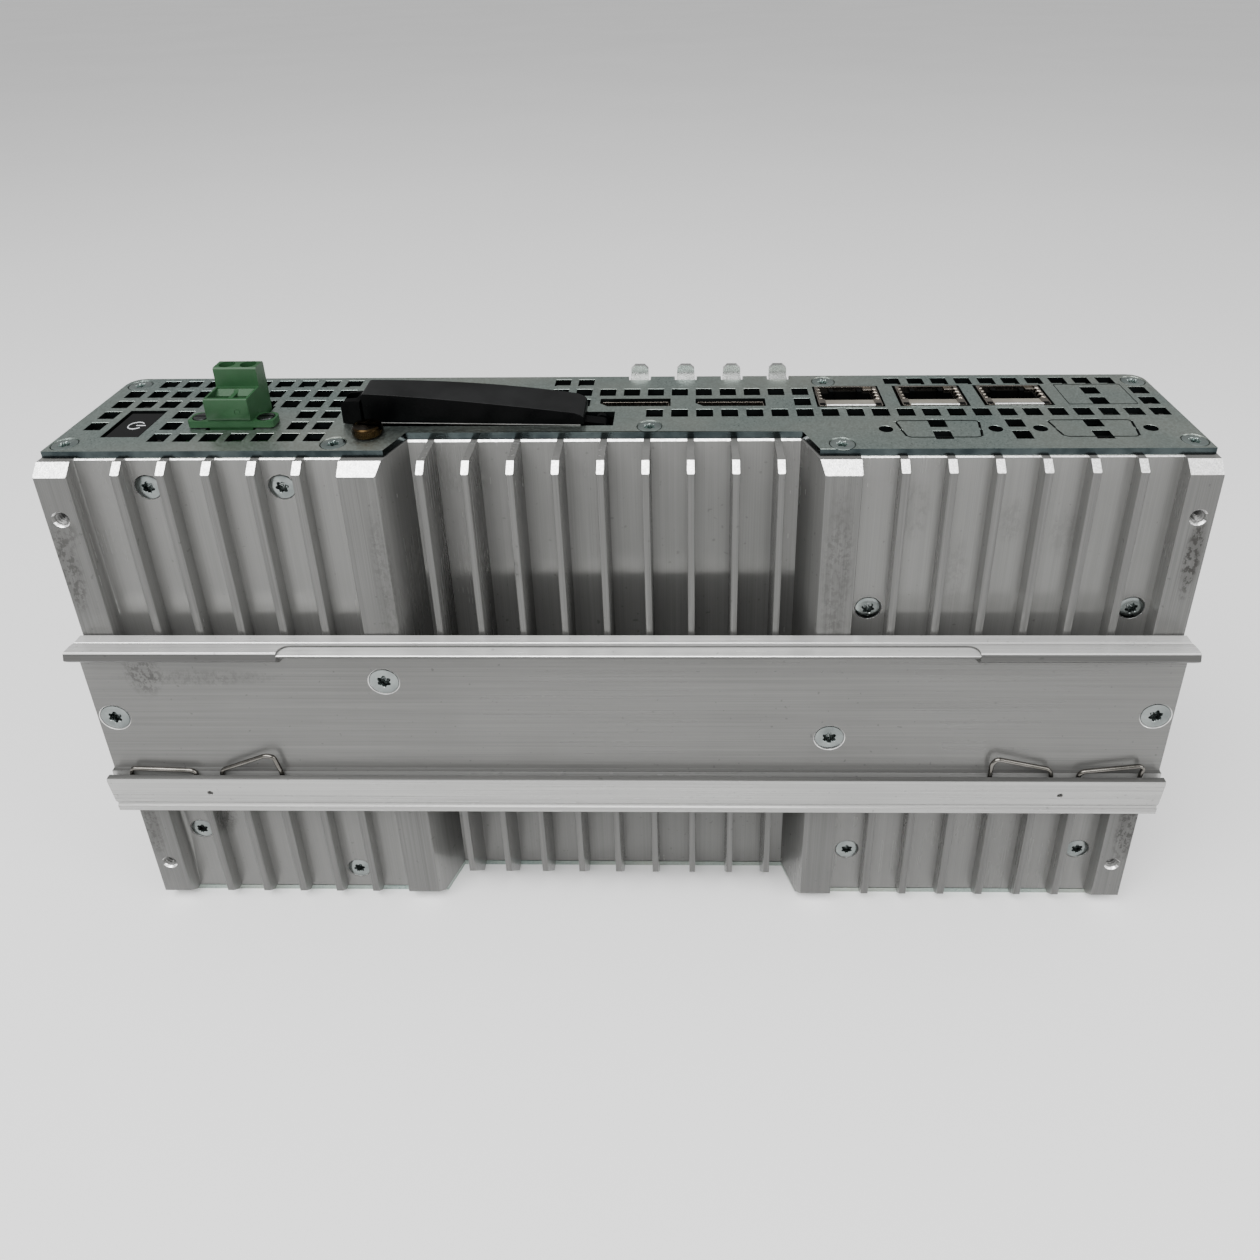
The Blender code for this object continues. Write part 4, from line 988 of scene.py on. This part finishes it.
def make_thumb_screw():
    """Brass screw with a finely knurled rim, a chamfered top and a driver slot."""
    middle, rim, (low, high) = screw_place("thumb_screw")
    top = high.z
    teeth = 60

    def ring(radius, z, knurl=0.0):
        rings = []
        for i, t in enumerate(turns_of(teeth * 4)):
            r = radius - (knurl if i % 4 in (2, 3) else 0)
            rings.append((middle.x + r * math.cos(t), middle.y + r * math.sin(t), z))
        return rings

    rings = [[(middle.x, middle.y, low.z)], ring(0.7, low.z), ring(0.95, low.z + 0.3), ring(0.95, top - 4.2)]
    rings += [ring(1.3, top - 4.0), ring(1.3, top - 2.35)]
    rings += [ring(rim - 0.4, top - 2.3), ring(rim - 0.05, top - 2.1)]
    rings += [ring(rim - 0.02, top - 1.9), ring(rim, top - 1.8, 0.07), ring(rim, top - 0.7, 0.07)]
    rings += [ring(rim - 0.04, top - 0.6), ring(rim - 0.12, top - 0.3)]
    rings += [ring(rim - 0.5, top), ring(rim - 1.2, top), [(middle.x, middle.y, top)]]
    bm = bmesh.new()
    add_rings(bm, rings)
    screw = add_piece("thumb_screw_look", bm, "brass", "thumb_screw", ("thumb_screw",))
    slot = prism_bm(rectangle(-5, -0.42, 5, 0.42), "Z", top - 1.1, top + 1)
    tilt = Matrix.Translation((middle.x, middle.y, 0)) @ Matrix.Rotation(math.radians(-12), 4, "Z")
    bmesh.ops.transform(slot, matrix=tilt, verts=slot.verts)
    cut(screw, slot)
    smooth(screw, 30)


# ---- connectors

def slotted_head(node):
    """A small screw head with a straight slot, domed at its edge."""
    middle, head, (low, high) = screw_place(node)
    top = high.z
    profile = [(0, low.z - top), (head * 0.55, low.z - top), (head * 0.55, -0.95)]
    profile += [(head, -0.9), (head, -0.2)]
    profile += [(head - 0.08, -0.07), (head - 0.25, 0), (0, 0)]
    if high.z - low.z < 3:
        profile = [(0, low.z - top), (head, low.z - top)] + profile[4:]
    bm = lathe_bm(profile, (middle.x, middle.y, top), "Z", 40)
    # The head is near-black: painted shade of its well.
    screw = add_piece(f"{node}_look", bm, "well_shaded_steel", node, (node,))
    slot = rectangle(middle.x - 3, middle.y - 0.25, middle.x + 3, middle.y + 0.25)
    cut(screw, prism_bm(slot, "Z", top - 0.5, top + 1))
    smooth(screw, 32)


def make_terminal():
    """Two-pole plug: stepped body, wire entries with clamp cages, screw wells and fixing ears."""
    low, high = box_mm("terminal_plug")
    x = (low.x + high.x) / 2
    y0, y1, z0, z1 = low.y, high.y, low.z, high.z
    half = 5.1
    step_y = y0 + 7.3
    step_z = z1 - 4.8
    flange = TOP + 1.9
    profile = [(y0 + 0.4, z0), (y1, z0), (y1, z1 - 0.4), (y1 - 0.4, z1)]
    profile += [(step_y + 0.35, z1), (step_y, z1 - 0.35), (step_y, step_z)]
    profile += [(y0 + 0.15, step_z), (y0, step_z - 0.15)]
    profile += [(y0, flange + 0.6), (y0 + 0.4, flange)]
    bm = prism_bm(profile, "X", x - half, x + half)
    plug = add_piece("terminal_plug_look", bm, "green", "terminal_plug", ("terminal_plug",))
    ear_y = y0 + 2.7
    ears = arc((high.x - 1.6, y0 + 3.5), 1.6, 0, 90, 8) + arc((low.x + 1.6, y0 + 3.5), 1.6, 90, 180, 8)
    ears += arc((low.x + 0.9, y0 + 1.1), 0.9, 180, 270, 4) + arc((high.x - 0.9, y0 + 1.1), 0.9, 270, 360, 4)
    join(plug, prism_bm(ears, "Z", TOP + 0.25, flange))
    wall = y0 + 0.95
    tray = [(wall, step_z - 0.9), (step_y - 1.5, step_z - 0.9), (step_y - 0.6, step_z - 0.3)]
    cut(plug, prism_bm(tray + [(step_y - 0.6, z1 + 1), (wall, z1 + 1)], "X", x - 4.55, x + 4.55))
    funnel = [(wall, z0 + 9.7), (y0 + 5.15, z0 + 9.7), (y0 + 5.15, step_z - 1.5)]
    funnel += [(step_y - 0.65, step_z - 0.35), (step_y - 0.65, z1 + 1), (wall, z1 + 1)]
    for side in (-1, 1):
        pole = x + side * 2.54
        well_y = (step_y + y1) / 2
        cut(plug, prism_bm(funnel, "X", pole - 2.05, pole + 2.05))
        cut(plug, lathe_bm([(0, -7.5), (1.85, -7.5), (1.85, 1), (0, 1)], (pole, well_y, z1), "Z", 40))
        ear = [(0, -3), (1.3, -3), (1.3, -0.9), (2.1, -0.9), (2.1, 1), (0, 1)]
        cut(plug, lathe_bm(ear, (x + side * 7.6, ear_y, flange), "Z", 40))
        outer = rounded(pole - 1.85, y0 + 1.1, pole + 1.85, y0 + 5.0, 0.35)
        inner = rounded(pole - 1.5, y0 + 1.4, pole + 1.5, y0 + 4.7, 0.25)
        bm = prism_bm(outer, "Z", z0 + 9.8, step_z - 2.8)
        cage = add_piece(f"wire_cage_{(side + 3) // 2}", bm, "nickel", "terminal_plug")
        cut(cage, prism_bm(inner, "Z", z0 + 10.6, z1))
        smooth(cage, 32)
    dimple = lathe_bm([(0, -1), (0.75, -1), (0.75, 0.12), (0.55, 0.14), (0.5, 0.05), (0, 0.05)],
                      (x + 2.4, y0, flange + 2.4), "Y", 24)
    cut(plug, dimple)
    soften(plug, 0.10, 2, 40)
    for number in (1, 2):
        slotted_head(f"clamp_screw_{number}")
        slotted_head(f"flange_screw_{number}")


def fixed(name, bm, look, width, segments=2):
    """A piece of the housing with its edges rounded."""
    soften(add_piece(name, bm, look, "housing"), width, segments)


def make_jack_shell(node, mouth):
    """Plated frame, open behind the mouth line, with a pale sloping strip in front of it."""
    low, high = box_mm(node)
    x = (low.x + high.x) / 2
    y0, top = low.y, high.z
    bm = prism_bm(rounded(low.x, y0, high.x, high.y, 0.35, 3), "Z", low.z, top)
    shell = add_piece(f"{node}_shell", bm, "nickel", "housing", (node,))
    hollow = rectangle(low.x + 0.9, mouth, high.x - 0.9, high.y - 0.45)
    cut(shell, prism_bm(hollow, "Z", low.z + 1, top + 1))
    strip = [(y0 + 0.6, top + 0.5), (y0 + 0.6, top - 0.06)]
    strip += [(mouth + 0.1, top - 0.28), (mouth + 0.1, top + 0.5)]
    cut(shell, prism_bm(strip, "X", x - 5.9, x + 5.9))
    soften(shell, 0.12, 3, 30)
    wear(shell, LOOKS["nickel"], LOOKS["strip"])
    for face in shell.data.polygons:
        at = face.center / MM
        if face.normal.z > 0.7 and y0 + 0.6 < at.y < mouth + 0.1 and abs(at.x - x) < 5.9:
            face.material_index = 1


def make_jack(number):
    """Shielded jack: plated frame, black insert with its keyed opening, spring fingers and contacts."""
    node = f"network_jack_{number}"
    low, high = box_mm(node)
    x = (low.x + high.x) / 2
    x0, x1, y0, y1 = low.x, high.x, low.y, high.y
    top = high.z
    mouth = y0 + 3.8
    make_jack_shell(node, mouth)
    bm = box_bm((x0 + 0.95, mouth + 0.05, low.z + 1.2), (x1 - 0.95, y1 - 0.5, top - 1.0))
    insert = add_piece(f"{node}_insert", bm, "insert", "housing")
    cut(insert, prism_bm(rectangle(x - 5.9, mouth + 0.3, x + 5.9, y1 - 2.0), "Z", low.z + 7, top + 1))
    cut(insert, prism_bm(rectangle(x - 3.0, y1 - 2.2, x + 3.0, y1 - 1.0), "Z", low.z + 9, top + 1))
    soften(insert, 0.08, 1)
    for i in range(8):
        pin_x = x + (i - 3.5) * 1.02
        path = [(pin_x, mouth + 0.6, top - 5.2), (pin_x, mouth + 1.1, top - 5.0)]
        path.append((pin_x, mouth + 2.8, top - 12.0))
        add_wire(f"{node}_contact_{i + 1}", filleted(path, 0.5, 4), 0.16, "gold", "housing")
    for side, hand in ((-1, "l"), (1, "r")):
        edge = x0 if side < 0 else x1
        for k in range(4):
            y = y0 + 3.9 + 1.75 * k
            path = [(edge - side * 0.35, y, top - 0.1), (edge - side * 1.0, y + 0.2, top + 0.02)]
            path += [(edge - side * 1.45, y + 0.4, top - 1.2), (edge - side * 0.95, y + 0.6, top - 3.2)]
            finger = f"{node}_finger_{k + 1}_{hand}"
            add_wire(finger, filleted(path, 0.6, 4), 0.32, "nickel", "housing")
        light_x = x + side * 6.75
        light = box_bm((light_x - 0.7, y0 + 0.1, top - 0.8), (light_x + 0.7, y0 + 1.5, top + 0.08))
        fixed(f"{node}_light_{hand}", light, "insert", 0.12)
    # A bright line along the shell's rolled front edge: painted highlight.
    rim_y = y0 + 0.25
    rim = [(x - 5.8, rim_y, top - 0.05), (x, rim_y, top - 0.03), (x + 5.8, rim_y, top - 0.05)]
    add_wire(f"{node}_rim", rim, 0.3, "milled", "housing")
    for k, offset in enumerate((-3.6, 3.4), 1):
        tab = box_bm((x + offset - 0.6, y1 - 2.3, top - 2.5), (x + offset + 0.6, y1 - 0.5, top - 0.35))
        fixed(f"{node}_tab_{k}", tab, "black", 0.15)
    step = box_bm((x + 4.4, y1 - 1.7, top - 1.2), (x1 - 1.2, y1 - 0.5, top - 0.25))
    fixed(f"{node}_step", step, "nickel", 0.1)


def make_display_socket(number):
    """Keyed metal shell round a tongue with its row of contacts."""
    node = f"display_socket_{number}"
    low, high = box_mm(node)
    x0, x1, y0, y1 = low.x, high.x, low.y, high.y
    top = high.z

    def keyed(inset):
        start = [(x0 + inset, y0 + 1.7 + inset * 0.4), (x0 + 1.75 + inset * 0.4, y0 + inset)]
        return start + [(x1 - inset, y0 + inset), (x1 - inset, y1 - inset), (x0 + inset, y1 - inset)]

    bm = prism_bm(keyed(0), "Z", low.z, top)
    shell = add_piece(f"{node}_shell", bm, "nickel", "housing", (node,))
    cut(shell, prism_bm(keyed(0.3), "Z", low.z + 1, top + 1))
    soften(shell, 0.06, 1)
    fixed(f"{node}_insert", prism_bm(keyed(0.33), "Z", low.z + 1.2, top - 8), "insert", 0)
    middle = (y0 + y1) / 2 + 0.1
    tongue = prism_bm(rectangle(x0 + 2.4, middle - 0.32, x1 - 1.6, middle + 0.32), "Z", top - 8.2, top - 2.2)
    fixed(f"{node}_tongue", tongue, "chip", 0.08)
    pitch = (x1 - x0 - 5.0) / 9
    for i in range(10):
        x = x0 + 2.9 + pitch * i
        bar = prism_bm(rectangle(x - 0.22, middle - 0.38, x + 0.22, middle - 0.31), "Z", top - 7.5, top - 2.8)
        add_piece(f"{node}_contact_{i + 1}", bar, "gold", "housing")


# ---- assembly of the looks

KEPT = {
    "mainboard": "board", "memory_module": "board", "power_board": "board", "processor": "chip",
    "network_controller": "chip", "memory_card": "chip", "power_inductor": "chip", "heat_spreader": "copper",
    "storage_drive": "alloy", "input_capacitor": "alloy", "backup_battery": "nickel", "power_switch": "black",
    "card_cage": "black", "terminal_header": "green", "cover_hinge_pin": "spring",
}

make_heatsink()
make_plates()
make_screws()
make_bracket()
make_springs()
make_blanks()
make_threads()
make_power_button()
make_slot_cover()
make_catch()
make_thumb_screw()
make_terminal()
for jack in range(1, JACK_COUNT + 1):
    make_jack(jack)
for socket in range(1, DISPLAY_COUNT + 1):
    make_display_socket(socket)
for kept, kept_look in KEPT.items():
    keep_node(kept, kept_look)


# ---- studio

def make_floor():
    """A wide, plain, pale floor."""
    bm = bmesh.new()
    bmesh.ops.create_grid(bm, x_segments=1, y_segments=1, size=9.0)
    floor = add_object("studio_floor", mesh_from("studio_floor", bm))
    made, tree, shader = new_tree("floor_look")
    cloud = noise(tree, (3, 3, 3), 2.0, 0.5)
    colour = mix(tree, span(tree, cloud, 0.3, 0.7), (0.86, 0.86, 0.86), (0.89, 0.89, 0.89))
    tree.links.new(colour, shader.inputs["Base Color"])
    shader.inputs["Roughness"].default_value = 0.7
    wear(floor, made)


def make_world():
    """A soft room: bright overhead, greyer towards the horizon and darkest behind the object."""
    world = bpy.data.worlds.new("studio")
    bpy.context.scene.world = world
    world.use_nodes = True
    tree = world.node_tree
    background = tree.nodes["Background"]
    place = add_node(tree, "ShaderNodeTexCoord")
    split = add_node(tree, "ShaderNodeSeparateXYZ")
    tree.links.new(place.outputs["Generated"], split.inputs["Vector"])
    height = span(tree, split.outputs["Z"], 0.0, 0.95)
    ramp = add_node(tree, "ShaderNodeValToRGB")
    stops = ramp.color_ramp.elements
    stops[0].position = 0.0
    stops[0].color = (0.50, 0.50, 0.50, 1.0)
    stops[1].position = 1.0
    stops[1].color = (1.0, 1.0, 1.0, 1.0)
    tree.links.new(height, ramp.inputs["Fac"])
    behind = span(tree, split.outputs["Y"], -0.2, 0.9, 1.0, 0.55)
    shade = mix(tree, 1.0, ramp.outputs["Color"], behind, "MULTIPLY")
    tree.links.new(shade, background.inputs["Color"])
    background.inputs["Strength"].default_value = 1.0


def add_light(name, place, target, size, watts):
    """A rectangular light of a size in metres, turned towards a target."""
    data = bpy.data.lights.new(name, "AREA")
    data.shape = "RECTANGLE"
    data.size, data.size_y = size
    data.energy = watts
    light = add_object(name, data)
    light.location = place
    light.rotation_euler = (Vector(target) - Vector(place)).to_track_quat("-Z", "Y").to_euler()


def make_camera():
    """The camera looks down on the front from above the connector plate's left half."""
    data = bpy.data.cameras.new("camera")
    data.sensor_width = 36.0
    data.lens = 27.72
    data.shift_x = -0.032
    data.shift_y = -0.192
    camera = add_object("camera", data)
    yaw, pitch, roll = (math.radians(angle) for angle in CAMERA_TURN)
    forward = Vector((math.sin(yaw) * math.cos(pitch), math.cos(yaw) * math.cos(pitch), -math.sin(pitch)))
    level = Vector((math.cos(yaw), -math.sin(yaw), 0))
    down = forward.cross(level)
    right = level * math.cos(roll) + down * math.sin(roll)
    down = down * math.cos(roll) - level * math.sin(roll)
    turn = Matrix((right, -down, -forward)).transposed().to_4x4()
    camera.matrix_world = Matrix.Translation(CAMERA_PLACE) @ turn
    data.clip_start = 0.01
    bpy.context.scene.camera = camera


make_floor()
make_world()
add_light("key", (-0.25, -0.55, 1.0), (0, 0, 0.08), (1.1, 0.7), 22.0)
add_light("right_fill", (0.95, -0.5, 0.55), (0, 0, 0.08), (0.5, 0.8), 6.0)
make_camera()
